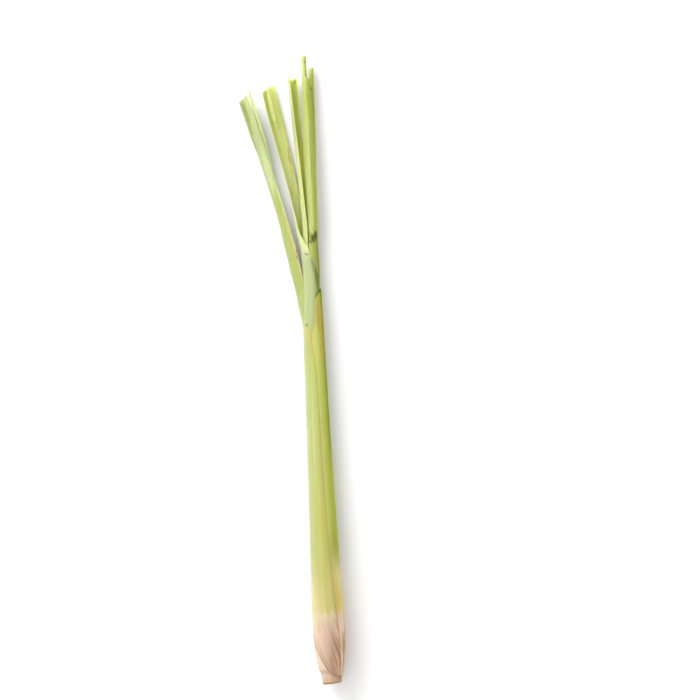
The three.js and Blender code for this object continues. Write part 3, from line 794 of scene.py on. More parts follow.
# Spots on a leaf: where on its upper side (x, y), half-sizes (x, y), colour, strength. They fade
# out past their half-sizes and keep a least depth, so that a narrow one isn't lost in a fold.
SPOTS = {
    "leaf_1": [
        (0.0, 22, 0.9, 30, "dry_tan", 0.4), (-3.6, 91, 1.5, 5.5, "dry_tan", 0.85),
        (-4.3, 96.4, 0.5, 0.8, "brown", 0.8), (-4.6, 98.2, 0.35, 0.6, "bloom", 0.6),
        (-3.6, 35, 0.5, 30, "bloom", 0.2), (2.4, -50, 1.5, 8, "straw", 0.8),
        (-2.2, -78, 3.0, 10, "bulb_blush", 0.6),
        (-11.2, 150, 1.1, 13, "bulb_cream", 0.6), (-8.6, 137, 0.9, 9, "bulb_cream", 0.5),
        (-14.2, 167, 1.0, 11, "wax_pale", 0.7),
        (-6.3, 128, 0.8, 7, "bulb_cream", 0.6), (-7.9, 138, 0.35, 1.0, "brown", 0.9),
        # the darker olive spots on this and the next three lines are painted shade: the shaded inside
        # of the blade's fold at its left near the tip, and thin painted shadows under its upper edge
        (-7.5, 135.2, 0.3, 0.9, "brown", 0.9), (-32.7, 217, 1.4, 8, "blade_shade_olive", 0.85),
        (-31.1, 209, 0.9, 8, "blade_shade_olive", 0.8), (-28.9, 201, 0.6, 8, "blade_shade_olive", 0.6),
        (-28.0, 216, 0.3, 6, "blade_shade_olive", 0.9), (-25.2, 207, 0.3, 7, "blade_shade_olive", 0.8),
        (-22.8, 197, 0.3, 6, "blade_shade_olive", 0.7), (-20.8, 190, 0.25, 5, "blade_shade_olive", 0.6),
        (-21.4, 184, 1.4, 15, "wax_pale", 0.8), (-28.6, 211, 1.2, 9, "wax_green", 0.5),
        (-25.2, 215, 0.8, 12, "wax_pale", 0.8), (6.2, -90.3, 0.7, 2.2, "rust", 0.8),
    ],
    "leaf_2": [
        (4.3, 102, 1.5, 10, "orange_brown", 1.0), (5.4, 86, 1.0, 9, "orange_brown", 0.6),
        (2.6, 111.5, 1.4, 1.2, "orange_brown", 0.6), (5.7, 115.4, 0.7, 1.2, "bruise", 0.8),
        (1.0, 101, 0.3, 7, "orange_brown", 0.6), (5.5, -50, 1.6, 14, "orange_brown", 0.3),
        (8.5, -78, 1.4, 6, "bulb_blush", 0.7), (8.5, -80, 0.4, 6, "rust", 0.75),
        (1.5, 103, 0.9, 9, "wax_green", 0.6),
    ],
    "leaf_3": [
        (-2.6, 135.6, 0.5, 0.8, "brown", 0.7), (-1.8, 134.6, 0.5, 0.6, "brown", 0.6),
        (3.4, 127, 1.1, 7, "bruise", 0.35), (4.4, 120, 0.9, 6, "bruise", 0.45),
        (-8.9, 188, 0.35, 3.2, "brown", 0.7), (-8.2, 183, 0.35, 3.0, "orange_brown", 0.8),
        # the two olive spots on this line are painted shade at the blade's tip; the pale and light
        # green spots on the next line are painted light in its fold
        (-13.2, 215, 0.9, 13, "olive", 0.9), (-19.4, 217, 0.8, 10, "olive", 0.6),
        (-16.5, 217, 0.9, 11, "lit_gutter_pale", 0.8), (-12.7, 199, 0.9, 8, "lit_gutter_green", 0.6),
        (-5.7, 149, 0.6, 7, "lime", 0.7),
        (-7.2, 172, 0.35, 3.0, "orange_brown", 0.6), (-9.6, 193, 0.35, 2.0, "brown", 0.5),
    ],
    "leaf_4": [
        (2.6, 143.8, 2.4, 2.6, "bruise", 0.5), (3.0, 144.2, 1.0, 1.7, "bruise", 0.85),
        (1.4, 142.6, 1.0, 0.9, "bruise", 0.6), (4.6, 145.6, 0.9, 2.2, "bruise", 0.85),
        (4.0, 222, 0.25, 1.8, "bruise", 0.8), (2.2, 218, 1.4, 9, "olive", 0.7),
        (4.2, 190, 0.25, 16, "bruise", 0.25),
    ],
    "leaf_5": [(-3.9, 230.6, 0.7, 1.1, "bruise", 0.45), (-6.4, 225, 0.5, 9, "wax_green", 0.8)],
    "leaf_6": [(6.0, 227, 0.4, 1.4, "bruise", 0.7), (6.2, 236, 1.2, 1.5, "young_green", 0.5)],
}

SPOT_FADE = (1.4, 1.3, 1.4)
SPOT_RIM = 0.45  # share of a spot's reach over which it fades in
SPOT_GRAIN = 1400  # noise that makes its outline ragged, in waves a metre

HEART_MARK = (0.0029, 0.2412, 0.0064)  # small brown mark near the heart leaf's tip
HEART_MARK_SIZE = (0.0004, 0.0012, 0.002)
NICK = (0.0046, -0.0965, 0.0115)  # browned nick in the stub, under the leaf's foot
NICK_SIZE = (0.0011, 0.004, 0.004)

# Colours that a colour is multiplied by: for streaks, and for painted light and shade
STREAK_DYE = (0.80, 0.84, 0.62)  # darker streaks and speckles of a leaf
# painted shade, darker and more yellow, on the side of a leaf that faces right
RIGHT_SHADE_TINT = (0.74, 0.77, 0.16)  # a leaf's side that faces right
# deeper painted shade on the sheaths' rightmost strip
RIGHT_STRIP_SHADE_TINT = (0.56, 0.58, 0.2)  # the rightmost strip of the sheaths
# painted shade inside a folded blade where it faces left, and painted light where it faces half right
FOLD_SHADE_TINT = (0.74, 0.77, 0.5)  # inner side of a folded blade, where it faces left
FOLD_LIGHT_TINT = (1.12, 1.12, 1.3)  # and where it faces half right
# painted shade that dims the side of a leaf that faces left, towards the light
LEFT_SHADE_TINT = (0.83, 0.84, 0.94)  # a leaf's side that faces left
HEART_DYE = (0.78, 0.84, 0.6)
STEM_DYE = (0.8, 0.7, 0.58)

GREEN_OVER = (-53, -22)  # length over which the bulb's colours give way to green
TONES_LOW, TONES_HIGH = -102, 246


def colour_of(name):
    return (*getattr(bpy.context.scene.lemongrass, name), 1.0)


def new_material(name, record_slot):
    material = bpy.data.materials.new(name)
    material.use_nodes = True
    material["slot"] = record_slot
    material.node_tree.nodes.clear()
    return material, Wiring(material.node_tree)


def finish_material(wire, colour, roughness, bump, **constants):
    """Ends a material: colour, roughness and bump from nodes, and what is even set directly."""
    shader = wire.node("ShaderNodeBsdfPrincipled", {
        "Base Color": colour,
        "Roughness": roughness,
        "Normal": bump,
        **{name.replace("_", " "): value for name, value in constants.items()},
    })
    wire.node("ShaderNodeOutputMaterial", {"Surface": shader.outputs[0]})


def tone_ramp(wire, place, tones):
    """Colours at their places along the stalk."""
    node = wire.node("ShaderNodeValToRGB", {0: wire.straight(place, TONES_LOW, TONES_HIGH)})
    ramp = node.color_ramp
    ramp.interpolation = "EASE"
    while len(ramp.elements) < len(tones):
        ramp.elements.new(0.5)
    for element, (at, _) in zip(ramp.elements, tones):
        element.position = (at - TONES_LOW) / (TONES_HIGH - TONES_LOW)
    for element, (_, name) in zip(ramp.elements, tones):
        element.color = colour_of(name)
    return node.outputs[0]


def spot(wire, centre, slant, reach, ragged=0.7):
    """1 in a ragged spot about a point, drawn out along the leaf, and 0 away from it."""
    place = wire.place()
    offset = wire.vector("SUBTRACT", place, centre)
    parts = wire.node("ShaderNodeSeparateXYZ", {0: offset}).outputs
    across = wire.math("SUBTRACT", parts[0], wire.times(parts[1], slant))
    offset = wire.vector("DIVIDE", wire.combine(across, parts[1], parts[2]), reach)
    distance = wire.node("ShaderNodeVectorMath", {0: offset}, operation="LENGTH").outputs["Value"]
    blur = wire.noise(wire.vector("MULTIPLY", place, (1.0, 0.3, 1.0)), SPOT_GRAIN)
    blur = wire.math("SUBTRACT", blur, 0.5)
    distance = wire.math("ADD", distance, wire.times(blur, ragged))
    return wire.ease(wire.less(distance), 0.0, SPOT_RIM)


def surface_point(points, outward, x, y):
    """The highest point of a leaf near a place seen from above, and the leaf's slant there."""
    away = np.hypot(points[..., 0] - x, points[..., 1] - y)
    upright = np.abs(outward[..., 2]) < 0.05
    away = np.where(upright, away + 5, away)
    height = np.where(away < away.min() + 0.5, points[..., 2], -1)
    row, column = np.unravel_index(np.argmax(height), height.shape)
    before, after = points[max(row - 2, 0), column], points[min(row + 2, len(points) - 1), column]
    slant = (after[0] - before[0]) / max(after[1] - before[1], 0.1)
    return points[row, column], float(slant)


def streaked(wire, leaf, fine, speckle):
    """A leaf's colours along it, wandering from fibre to fibre, with streaks and speckles."""
    ribs = leaf["ribs"]
    wander = wire.math("SUBTRACT", wire.streaks(ribs * 0.35, 0.0, 1.0, 3.0, 0.6), 0.5)
    at = wire.math("ADD", wire.read("lengthwise"), wire.times(wander, 14.0))
    colour = tone_ramp(wire, at, leaf["tones"])
    broad = wire.streaks(ribs * 0.5, 0.012, 1.3, 3.0, 0.55)
    darker = wire.colour_product(colour, STREAK_DYE)
    lighter = wire.mix(0.24, colour, colour_of("bloom"))
    for factor, other in (
        (wire.ease(broad, 0.5, 0.8, 0, 0.75), darker),
        (wire.straight(broad, 0.48, 0.25, 0, 0.5), lighter),
        (wire.ease(fine, 0.52, 0.72, 0, 0.62), darker),
        (wire.straight(fine, 0.47, 0.25, 0, 0.6), lighter),
        (wire.ease(speckle, 0.56, 0.7, 0, 0.32), darker),
    ):
        colour = wire.mix(factor, colour, other)
    return colour


def sided(wire, leaf, colour, facing, green):
    """Painted shade on a leaf's right side, deeper on the sheaths' rightmost strip, painted shade and
    light inside its fold, and painted sheen in wax colour and painted dimming on its left side.
    """
    lengthwise, inside = wire.read("lengthwise"), wire.read("inside")
    # painted shade on the side that faces right, less of it on the inner side
    flank = wire.times(wire.ease(facing, 0.2, 1.0, 0, leaf.get("flank", 0.85)), green)
    flank = wire.times(flank, wire.less(wire.times(inside, 0.7)))
    colour = wire.tinted(flank, colour, RIGHT_SHADE_TINT)
    # deeper painted shade on the rightmost strip of the sheaths along the stalk
    right_strip_shade = wire.times(wire.ease(facing, 0.72, 0.96, 0, 0.9), wire.ease(lengthwise, 5, 40))
    right_strip_shade = wire.times(right_strip_shade, wire.straight(lengthwise, 165, 148))
    colour = wire.tinted(right_strip_shade, colour, RIGHT_STRIP_SHADE_TINT)
    # painted shade inside a blade's fold where it faces left
    fold_shade = wire.times(wire.straight(facing, 0.25, -0.6, 0, 0.9), inside)
    colour = wire.tinted(fold_shade, colour, FOLD_SHADE_TINT)
    # painted light inside a blade's fold where it faces half right
    right = wire.times(wire.ease(facing, 0.25, 0.5), wire.straight(facing, 0.8, 0.55), inside)
    colour = wire.tinted(right, colour, FOLD_LIGHT_TINT)
    # painted sheen in wax colour on the side that faces left, towards the light
    left_sheen = wire.straight(facing, -0.3, -0.95, 0, leaf.get("wax", 0.5))
    left_sheen = wire.times(left_sheen, wire.times(green, wire.less(inside)))
    colour = wire.mix(left_sheen, colour, colour_of("wax_green"))
    # painted shade that dims the side that faces left
    return wire.tinted(wire.straight(facing, -0.15, -0.6), colour, LEFT_SHADE_TINT)


def bulb_sides(wire, colour, facing, green):
    """The bulb's rose, amber and straw on its right side, lighter than its own as painted light
    against the shade there, and its own cream on its left side, where the light falls, as painted
    light.
    """
    lengthwise = wire.read("lengthwise")
    # the bulb's right side: its own rose, amber and straw lightened as painted light against the shade
    # there
    right_painted_light = tone_ramp(wire, lengthwise, [
        (-98, "rose_painted_light"), (-68, "rose_painted_light"), (-56, "amber_painted_light"), (-36, "straw_painted_light"),
    ])
    right_light_share = wire.times(wire.ease(facing, 0.05, 0.8, 0, 0.95), wire.less(green))
    colour = wire.mix(right_light_share, colour, right_painted_light)
    cream = tone_ramp(wire, lengthwise, [
        (-98, "bulb_pink"), (-74, "bulb_blush"), (-58, "bulb_cream"), (-30, "bulb_cream"),
    ])
    # the bulb's own cream laid on the side that faces left, towards the light, as painted light
    left_cream_light = wire.times(
        wire.straight(facing, -0.25, -0.9, 0, 0.85), wire.straight(lengthwise, -30, -56)
    )
    return wire.mix(left_cream_light, colour, cream)


def bulb_threads(wire, leaf, colour, facing):
    """Rosy lines along the ribs of the bulb."""
    thread = wire.streaks(leaf["ribs"] * 2.1, 0.02, 1.6, 2.0, 0.7)
    low_down = wire.straight(wire.read("lengthwise"), -61, -76)
    factor = wire.times(
        wire.ease(thread, 0.46, 0.57), low_down, wire.straight(facing, -0.7, 0.4, 0.35, 1)
    )
    return wire.mix(factor, colour, colour_of("root_rose"))


def edged(wire, leaf, colour):
    """A pale keel, a young inner side, browned edges, a rosy foot and an olive rim at the cut."""
    edge, free = wire.read("edge"), wire.read("free")
    patchy = wire.streaks(3, 0.12, 1.5, 4.0, 0.5)
    sheath = wire.straight(free, 0, 1, leaf.get("rim", 1), 0.1)
    rim = wire.times(wire.straight(edge, 0.55, 0.2), wire.ease(patchy, 0.3, 0.55, 0.3, 0.95))
    line = wire.times(wire.straight(edge, 0.22, 0.08), wire.ease(patchy, 0.4, 0.6, 0.25, 0.9))
    midrib = wire.times(wire.straight(wire.read("keel"), 0.55, 0.1), wire.times(free, 0.4))
    for factor, name in (
        (midrib, "bloom"),
        (wire.times(wire.read("inside"), 0.25), "young_green"),
        (wire.times(rim, sheath), "orange_brown"),
        (wire.times(line, sheath), "rust"),
        (wire.times(wire.straight(wire.read("foot"), 0.9, 0.2), 0.7), "root_rose"),
        (wire.times(wire.straight(wire.read("cut"), 0.7, 0.1), 0.45), "olive"),
    ):
        colour = wire.mix(factor, colour, colour_of(name))
    return colour


def leaf_material(leaf, points, outward):
    material, wire = new_material(leaf["node"] + "_finish", leaf["slot"])
    ribs = leaf["ribs"]
    fine = wire.streaks(ribs * 2.2, 0.02, 1.6, 4.0, 0.65)
    speckle = wire.noise(wire.vector("MULTIPLY", wire.place(), (1.0, 0.5, 1.0)), 1500, 3.0, 0.6)
    colour = streaked(wire, leaf, fine, speckle)

    # how far the surface faces right; a leaf's inner side faces the other way than its outer one
    facing = wire.node("ShaderNodeSeparateXYZ", {0: wire.read("outward", "Vector")}).outputs[0]
    facing = wire.times(facing, wire.less(wire.times(wire.read("inside"), 2.0)))
    green = wire.ease(wire.read("lengthwise"), *GREEN_OVER)
    colour = sided(wire, leaf, colour, facing, green)
    if LEAVES.index(leaf) < 2:
        colour = bulb_sides(wire, colour, facing, green)
    if leaf is LEAVES[0]:
        colour = bulb_threads(wire, leaf, colour, facing)
    colour = edged(wire, leaf, colour)
    for x, y, half_x, half_y, name, strength in SPOTS.get(leaf["node"], []):
        centre, slant = surface_point(points, outward, x, y)
        centre = tuple(float(c) * MM for c in centre)
        reach = [MM * fade * size for fade, size in zip(SPOT_FADE, (half_x, half_y, max(half_x, 2.0)))]
        factor = wire.times(spot(wire, centre, slant, reach), strength)
        colour = wire.mix(factor, colour, colour_of(name))

    rib_line = wire.math("SINE", wire.times(wire.read("fibre"), ribs * 4 * FULL_TURN))
    height = wire.math("ADD", wire.times(fine, 0.8), wire.times(rib_line, 0.15))
    height = wire.math("ADD", height, wire.times(speckle, 0.25))
    finish_material(wire, colour, wire.straight(fine, 0.3, 0.7, 0.42, 0.6),
                    wire.bump(height, 0.35, 0.00012), IOR=1.42, Subsurface_Weight=1.0,
                    Subsurface_Scale=0.0012, Subsurface_Radius=(1.0, 0.95, 0.35),
                    Specular_IOR_Level=0.4)
    return material


def heart_material():
    material, wire = new_material("heart_finish", "heart_leaf")
    colour = tone_ramp(wire, wire.read("lengthwise"), [
        (-70, "bulb_cream"), (20, "straw_green"), (140, "lime"), (200, "lime"), (244, "lime"),
    ])
    streak = wire.streaks(6, 0.02, 2.0, 3.0, 0.6)
    colour = wire.tinted(wire.ease(streak, 0.45, 0.7, 0, 0.7), colour, HEART_DYE)
    cut_rim = wire.times(wire.straight(wire.read("cut"), 0.6, 0.0), 0.5)
    colour = wire.mix(cut_rim, colour, colour_of("olive"))
    mark = wire.times(spot(wire, HEART_MARK, 0.0, HEART_MARK_SIZE), 0.8)
    colour = wire.mix(mark, colour, colour_of("brown"))
    finish_material(wire, colour, wire.straight(streak, 0.3, 0.7, 0.4, 0.55),
                    wire.bump(streak, 0.3, 0.0001), Specular_IOR_Level=0.4)
    return material


def stem_material():
    material, wire = new_material("stem_finish", "stem")
    lengthwise = wire.read("lengthwise")
    colour = tone_ramp(wire, lengthwise, [
        (-101, "root_tan"), (-97, "bulb_pink"), (-90, "bulb_blush"), (-70, "bulb_cream"),
    ])
    streak = wire.streaks(9, 0.12, 2.0, 4.0, 0.6)
    colour = wire.tinted(wire.ease(streak, 0.45, 0.7, 0, 0.8), colour, STEM_DYE)
    grain = wire.noise(wire.place(), 2600, 3.0, 0.6)
    face = wire.mix(wire.ease(grain, 0.4, 0.65), colour_of("root_tan"), colour_of("brown"))
    colour = wire.mix(wire.read("cut"), colour, face)
    from_cut = wire.math("ABSOLUTE", wire.math("SUBTRACT", lengthwise, CUT))
    for factor, name in (
        (wire.times(wire.straight(from_cut, 0.9, 0.2), 0.95), "brown"),
        (wire.times(wire.straight(wire.read("edge"), 0.6, 0.1), 0.6), "brown"),
        (wire.times(spot(wire, NICK, -0.5, NICK_SIZE), 0.85), "rust"),
    ):
        colour = wire.mix(factor, colour, colour_of(name))
    height = wire.math("ADD", streak, wire.times(grain, 0.5))
    finish_material(wire, colour, wire.straight(grain, 0.3, 0.7, 0.5, 0.7),
                    wire.bump(height, 0.4, 0.0002), Specular_IOR_Level=0.35)
    return material


def fibre_material(name, record_slot, tint, end):
    """Dry fibres: one colour into another by a noise on their place."""
    material, wire = new_material(name, record_slot)
    grain = wire.noise(wire.place(), 1800, 2.0)
    colour = wire.mix(wire.ease(grain, 0.4, 0.6), colour_of(tint), colour_of(end))
    roughness = wire.straight(grain, 0.3, 0.7, 0.5, 0.7)
    finish_material(wire, colour, roughness, wire.bump(grain, 0.2, 0.0001))
    return material


# Pieces ------------------------------------------------------------------------------------

def keep(piece, record_slot, *nodes):
    """Hands a finished piece to the frame."""
    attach(piece, "root")
    if nodes:
        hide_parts(*nodes)


def fringe(name, record_slot, points, grow, length, thickness, spread, seed, material):
    """Fine fibres standing on the given points."""
    mesh = bpy.data.meshes.new(name)
    mesh.from_pydata((points * MM).tolist(), [], [])
    store_way(mesh, "grow", grow)
    piece = add_object(name, mesh)
    tree = bpy.data.node_groups.get("fringe") or fringe_tree()
    grown(piece, tree, {
        "Length": length * MM, "Thickness": thickness * MM, "Spread": spread, "Seed": seed,
        "Material": material,
    })
    keep(piece, record_slot)


class LEMONGRASS_OT_leaves(bpy.types.Operator):
    """Grow the six leaves that wrap each other and fan out"""

    bl_idname = "lemongrass.leaves"
    bl_label = "Grow Leaves"

    def execute(self, context):
        settings = context.scene.lemongrass
        tree = leaf_wall_tree()
        for order, leaf in enumerate(LEAVES):
            points, outward, values, row = leaf_grid(leaf, settings.ragged / MM)
            missing = np.zeros((points.shape[0] - 1, points.shape[1] - 1), bool)
            if "tear" in leaf:
                missing[:, tear_column(leaf)] = row[:-1, 0] >= leaf["tear"][2]
            mesh = grid_mesh(leaf["node"], points, values, outward, missing)
            piece = add_object(leaf["node"] + "_grown", mesh)
            grown(piece, tree, {
                "Ribs": float(leaf["ribs"]),
                "Rib Height": settings.rib_height,
                "Wall": settings.wall,
                "Margin": settings.margin,
                "Midrib": settings.midrib,
                "Ripple": settings.ripple,
                "Seed": float(order * 7),
                "Material": leaf_material(leaf, points, outward),
            })
            keep(piece, leaf["slot"], leaf["node"])
        return {"FINISHED"}


class LEMONGRASS_OT_heart(bpy.types.Operator):
    """Roll the youngest leaf into its thin spear"""

    bl_idname = "lemongrass.heart"
    bl_label = "Roll Heart Leaf"

    def execute(self, context):
        y = np.arange(HEART_FOOT, HEART_TIP - 1, 2.0)
        y = np.append(y, [HEART_TIP - 0.25, HEART_TIP, HEART_TIP])
        inset = np.append(np.ones(len(y) - 2), [0.96, 0.45])
        turn = np.linspace(0, 2 * np.pi, HEART_SIDES, endpoint=False)
        roll = 1 + HEART_LAP / 4 - HEART_LAP * ((turn / (2 * np.pi) - HEART_LAP_AT) % 1.0)
        radius = along(HEART_RADIUS, y)[:, None] * inset[:, None] * roll[None, :]
        x = (along(HEART_X, y) + centre_x(y))[:, None] + radius * np.cos(turn)
        z = (along(HEART_LIFT, y) + centre_z(y))[:, None] + radius * np.sin(turn)
        rings = np.stack([x, np.repeat(y[:, None], HEART_SIDES, axis=1), z], axis=-1)
        poles = [rings[0].mean(axis=0), rings[-1].mean(axis=0) - (0, 0.2, 0)]
        values = {
            "lengthwise": rings[..., 1],
            "fibre": np.repeat(turn[None, :], len(y), axis=0),
            "cut": HEART_TIP - rings[..., 1],
        }
        mesh = ring_mesh("heart", rings, *poles, values)
        piece = add_object("heart_grown", mesh)
        mesh.materials.append(heart_material())
        keep(piece, "heart_leaf", "leaf_heart")
        return {"FINISHED"}


class LEMONGRASS_OT_stem(bpy.types.Operator):
    """Shape the cut stem with its scar, its ringed cut face and its inner cone"""

    bl_idname = "lemongrass.stem"
    bl_label = "Shape Stem"

    def execute(self, context):
        angle = np.linspace(0, 360, STUB_SIDES, endpoint=False)
        radians = np.radians(angle)
        rings, length, edges, cuts = [], [], [], []

        def add(radius, y, edge, cut):
            x = centre_x(y) + radius * np.cos(radians)
            z = centre_z(y) + radius * np.sin(radians)
            rings.append(np.stack([x, y, z], axis=-1))
            length.append(y)
            edges.append(np.broadcast_to(edge, (STUB_SIDES,)))
            cuts.append(np.full(STUB_SIDES, cut))

        slant = CUT_SLANT * np.cos(radians)
        wobble = sum(height * np.sin(radians * waves + turn) for height, waves, turn in STUB_WOBBLE)
        for share in np.linspace(0.12, 0.98, STUB_RINGS["cut"]):
            dent = CUT_SWELL * np.sin(share * CUT_RINGS) - CUT_HOLLOW * (1 - share) ** 2
            radius = STUB[0][1] * share + wobble * share**2
            add(radius, CUT - dent * 0.6 + slant * share, 9.0, 1.0)
        scar = scar_at(angle)
        for share in np.linspace(0.01, 1, STUB_RINGS["side"]):
            y = lerp(CUT, scar, share)
            outside = np.where(y < STUB[-1][0], along(STUB, y), radius_at(y))
            lump = wobble * (1 - share) ** 2 + 0.06 * np.sin(radians * 17) * smooth(share, 0, 0.3)
            lip = LIP_HEIGHT * np.exp(-(((scar - y) - LIP_BELOW) / LIP_WIDTH) ** 2)
            add(outside + lump + lip, y + slant * (1 - share) ** 20, scar - y, 0.0)
        reach = pitch_at(BULB_FULL) * LAYERS
        for share in np.linspace(0.06, 1, STUB_RINGS["cone"]):
            y = scar + reach * share * CONE_RISE
            add(np.maximum(radius_at(y) - reach * share, 0.6), y, 0.0, 0.0)
        rings = np.array(rings)
        foot = (STUB_CENTRE_X, CUT + 0.1, STUB_CENTRE_Z)
        peak = rings[-1].mean(axis=0)
        values = {
            "lengthwise": np.array(length),
            "fibre": np.repeat(radians[None, :], len(rings), axis=0),
            "edge": np.array(edges),
            "cut": np.array(cuts),
        }
        mesh = ring_mesh("stem", rings, foot, peak, values)
        piece = add_object("stem_grown", mesh)
        mesh.materials.append(stem_material())
        keep(piece, "stem", "stem_base")
        return {"FINISHED"}


class LEMONGRASS_OT_fibres(bpy.types.Operator):
    """Stand torn fibres along the cut leaf tips and round the rim of the stem's cut face"""

    bl_idname = "lemongrass.fibres"
    bl_label = "Add Fibres"

    def execute(self, context):
        settings = context.scene.lemongrass
        dry = fibre_material("dry_fibres", "green_leaf", "dry_tan", "lime")
        for order, leaf in enumerate(LEAVES):
            if "blade" not in leaf:
                continue
            ends = leaf_grid(leaf, settings.ragged / MM)[0][-1][::2] - (0, 0.15, 0)
            grow = np.tile((0.0, 1.0, 0.0), (len(ends), 1))
            name = leaf["node"] + "_cut_fibres"
            fringe(name, leaf["slot"], ends, grow, length=0.6, thickness=0.09, spread=0.35,
                   seed=order + 3, material=dry)
        rust = fibre_material("root_fibres_finish", "stem", "root_tan", "brown")
        turn = np.radians(np.arange(0, 360, 4.3))
        rim_radius = STUB[0][1] - 0.1
        rim = np.stack([
            STUB_CENTRE_X + rim_radius * np.cos(turn),
            CUT + 0.1 + CUT_SLANT * np.cos(turn),
            STUB_CENTRE_Z + rim_radius * np.sin(turn),
        ], axis=-1)
        grow = np.stack([np.cos(turn) * 0.4, -np.ones_like(turn), np.sin(turn) * 0.4], axis=-1)
        fringe("root_fibres", "stem", rim, grow, length=0.35, thickness=0.1, spread=0.4, seed=11,
               material=rust)
        return {"FINISHED"}


FLOOR_HALF = 4.0
FLOOR_CORNERS = [(-1, -1), (1, -1), (1, 1), (-1, 1)]
KEY_SIZE = 1.4
KEY_AIM = Vector((0.0, 0.08, 0.0))
KEY_AWAY = Vector((-0.95, 1.35, 0.66))  # from where it aims to the key light
VIEW_HEIGHT = 0.007  # of the level at which the camera sees its view width


class LEMONGRASS_OT_stage(bpy.types.Operator):
    """Set the pale floor, the soft light and the camera above the stalk"""

    bl_idname = "lemongrass.stage"
    bl_label = "Set Stage"

    def execute(self, context):
        settings = context.scene.lemongrass
        scene = context.scene
        scene.view_settings.view_transform = "Standard"
        mesh = bpy.data.meshes.new("floor")
        corners = [(x * FLOOR_HALF, y * FLOOR_HALF, 0) for x, y in FLOOR_CORNERS]
        mesh.from_pydata(corners, [], [(0, 1, 2, 3)])
        floor = add_object("floor", mesh)
        material, wire = new_material("floor_finish", "floor")
        paper = wire.times(wire.noise(wire.place(), 40), 0.02)
        colour = wire.mix(paper, (*settings.floor_colour, 1), (1, 1, 1, 1))
        shader = wire.node("ShaderNodeBsdfPrincipled", {"Base Color": colour, "Roughness": 0.9})
        wire.node("ShaderNodeOutputMaterial", {"Surface": shader.outputs[0]})
        mesh.materials.append(material)

        world = bpy.data.worlds.new("studio")
        scene.world = world
        world.use_nodes = True
        wire = Wiring(world.node_tree)
        direction = wire.node("ShaderNodeTexCoord").outputs["Generated"]
        across = wire.node("ShaderNodeSeparateXYZ", {0: direction}).outputs[0]
        fill = wire.straight(across, -0.8, 0.8, settings.fill_light, settings.far_light)
        backdrop = world.node_tree.nodes["Background"]
        backdrop.inputs["Color"].default_value = (1, 1, 1, 1)
        world.node_tree.links.new(fill, backdrop.inputs["Strength"])

        light = bpy.data.lights.new("key", "AREA")
        light.shape = "DISK"
        light.size = KEY_SIZE
        light.energy = settings.key_light
        key = bpy.data.objects.new("key", light)
        scene.collection.objects.link(key)
        key.location = KEY_AIM + KEY_AWAY
        key.rotation_euler = (KEY_AIM - key.location).to_track_quat("-Z", "Y").to_euler()

        lens = bpy.data.cameras.new("camera")
        lens.lens = settings.camera_lens
        lens.sensor_width = 36
        camera = bpy.data.objects.new("camera", lens)
        scene.collection.objects.link(camera)
        away = settings.view_width * settings.camera_lens / lens.sensor_width
        camera.location = Vector((settings.view_x, settings.view_y, VIEW_HEIGHT + away))
        camera.rotation_euler = (0, 0, settings.view_turn)
        scene.camera = camera
        return {"FINISHED"}


# Settings and panel ------------------------------------------------------------------------

def number_setting(name, description, default, **options):
    return bpy.props.FloatProperty(
        name=name, description=description, default=default, **options
    )


def length_setting(name, description, default, **options):
    return number_setting(
        name, description, default * MM, unit="LENGTH", precision=5, **options
    )


def colour_setting(name, description, default):
    return bpy.props.FloatVectorProperty(
        name=name, description=description, default=default, subtype="COLOR", size=3, min=0, max=1
    )


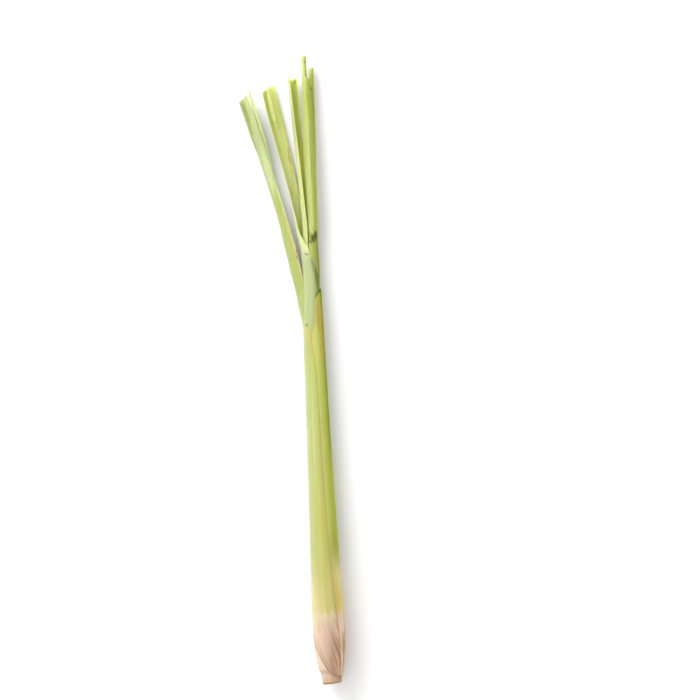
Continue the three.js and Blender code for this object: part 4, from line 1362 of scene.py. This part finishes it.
class LemongrassSettings(bpy.types.PropertyGroup):
    """Sizes, colours and stage of the stalk"""

    wall: length_setting("Wall", "Thickness of a leaf", 0.34, min=0)
    margin: length_setting("Margin", "Thickness of a leaf at its edges", 0.14, min=0)
    midrib: length_setting("Midrib", "Extra thickness along a blade's keel", 0.22, min=0)
    rib_height: length_setting("Rib Height", "Height of the ribs along a leaf", 0.045, min=0)
    ripple: length_setting("Ripple", "Height of the ripples along a blade", 0.35, min=0)
    ragged: length_setting("Ragged Cut", "Unevenness of the cut tips", 0.35, min=0)
    floor_colour: colour_setting("Floor", "Colour of the floor", (0.82, 0.82, 0.82))
    fill_light: number_setting("Fill Light", "Strength of the light from the left", 1.45, min=0)
    far_light: number_setting("Far Light", "Strength of the light from the right", 0.76, min=0)
    key_light: number_setting(
        "Key Light", "Power of the light at the upper left", 44.0, min=0, unit="POWER"
    )
    camera_lens: number_setting("Lens", "Focal length of the camera", 250.0, min=10)
    view_width: length_setting("View Width", "Width that the camera sees", 385, min=0)
    view_x: length_setting("View X", "Middle of the view, across the stalk", 19.554)
    view_y: length_setting("View Y", "Middle of the view, along the stalk", 81.615)
    view_turn: number_setting(
        "View Turn", "Turn of the camera about its line of sight", float(np.radians(-2.9)),
        subtype="ANGLE",
    )


for key, words, screen_colour in PALETTE:
    LemongrassSettings.__annotations__[key] = colour_setting(
        key.replace("_", " ").title(), words, shown(*screen_colour)
    )


class LEMONGRASS_PT_panel(bpy.types.Panel):
    """Grows the stalk and shows its settings"""

    bl_label = "Lemongrass Stalk"
    bl_idname = "LEMONGRASS_PT_panel"
    bl_space_type = "VIEW_3D"
    bl_region_type = "UI"
    bl_category = "Lemongrass"

    def draw(self, context):
        for operator in OPERATORS:
            self.layout.operator(operator.bl_idname)
        for name in LemongrassSettings.__annotations__:
            self.layout.prop(context.scene.lemongrass, name)


OPERATORS = (
    LEMONGRASS_OT_stage,
    LEMONGRASS_OT_stem,
    LEMONGRASS_OT_heart,
    LEMONGRASS_OT_leaves,
    LEMONGRASS_OT_fibres,
)
CLASSES = (LemongrassSettings, *OPERATORS, LEMONGRASS_PT_panel)


def register():
    for entry in CLASSES:
        bpy.utils.register_class(entry)
    bpy.types.Scene.lemongrass = bpy.props.PointerProperty(type=LemongrassSettings)


def unregister():
    del bpy.types.Scene.lemongrass
    for entry in reversed(CLASSES):
        bpy.utils.unregister_class(entry)


def main():
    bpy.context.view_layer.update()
    register()
    bpy.ops.lemongrass.stage()
    bpy.ops.lemongrass.stem()
    bpy.ops.lemongrass.heart()
    bpy.ops.lemongrass.leaves()
    bpy.ops.lemongrass.fibres()


if __name__ == "__main__":
    main()
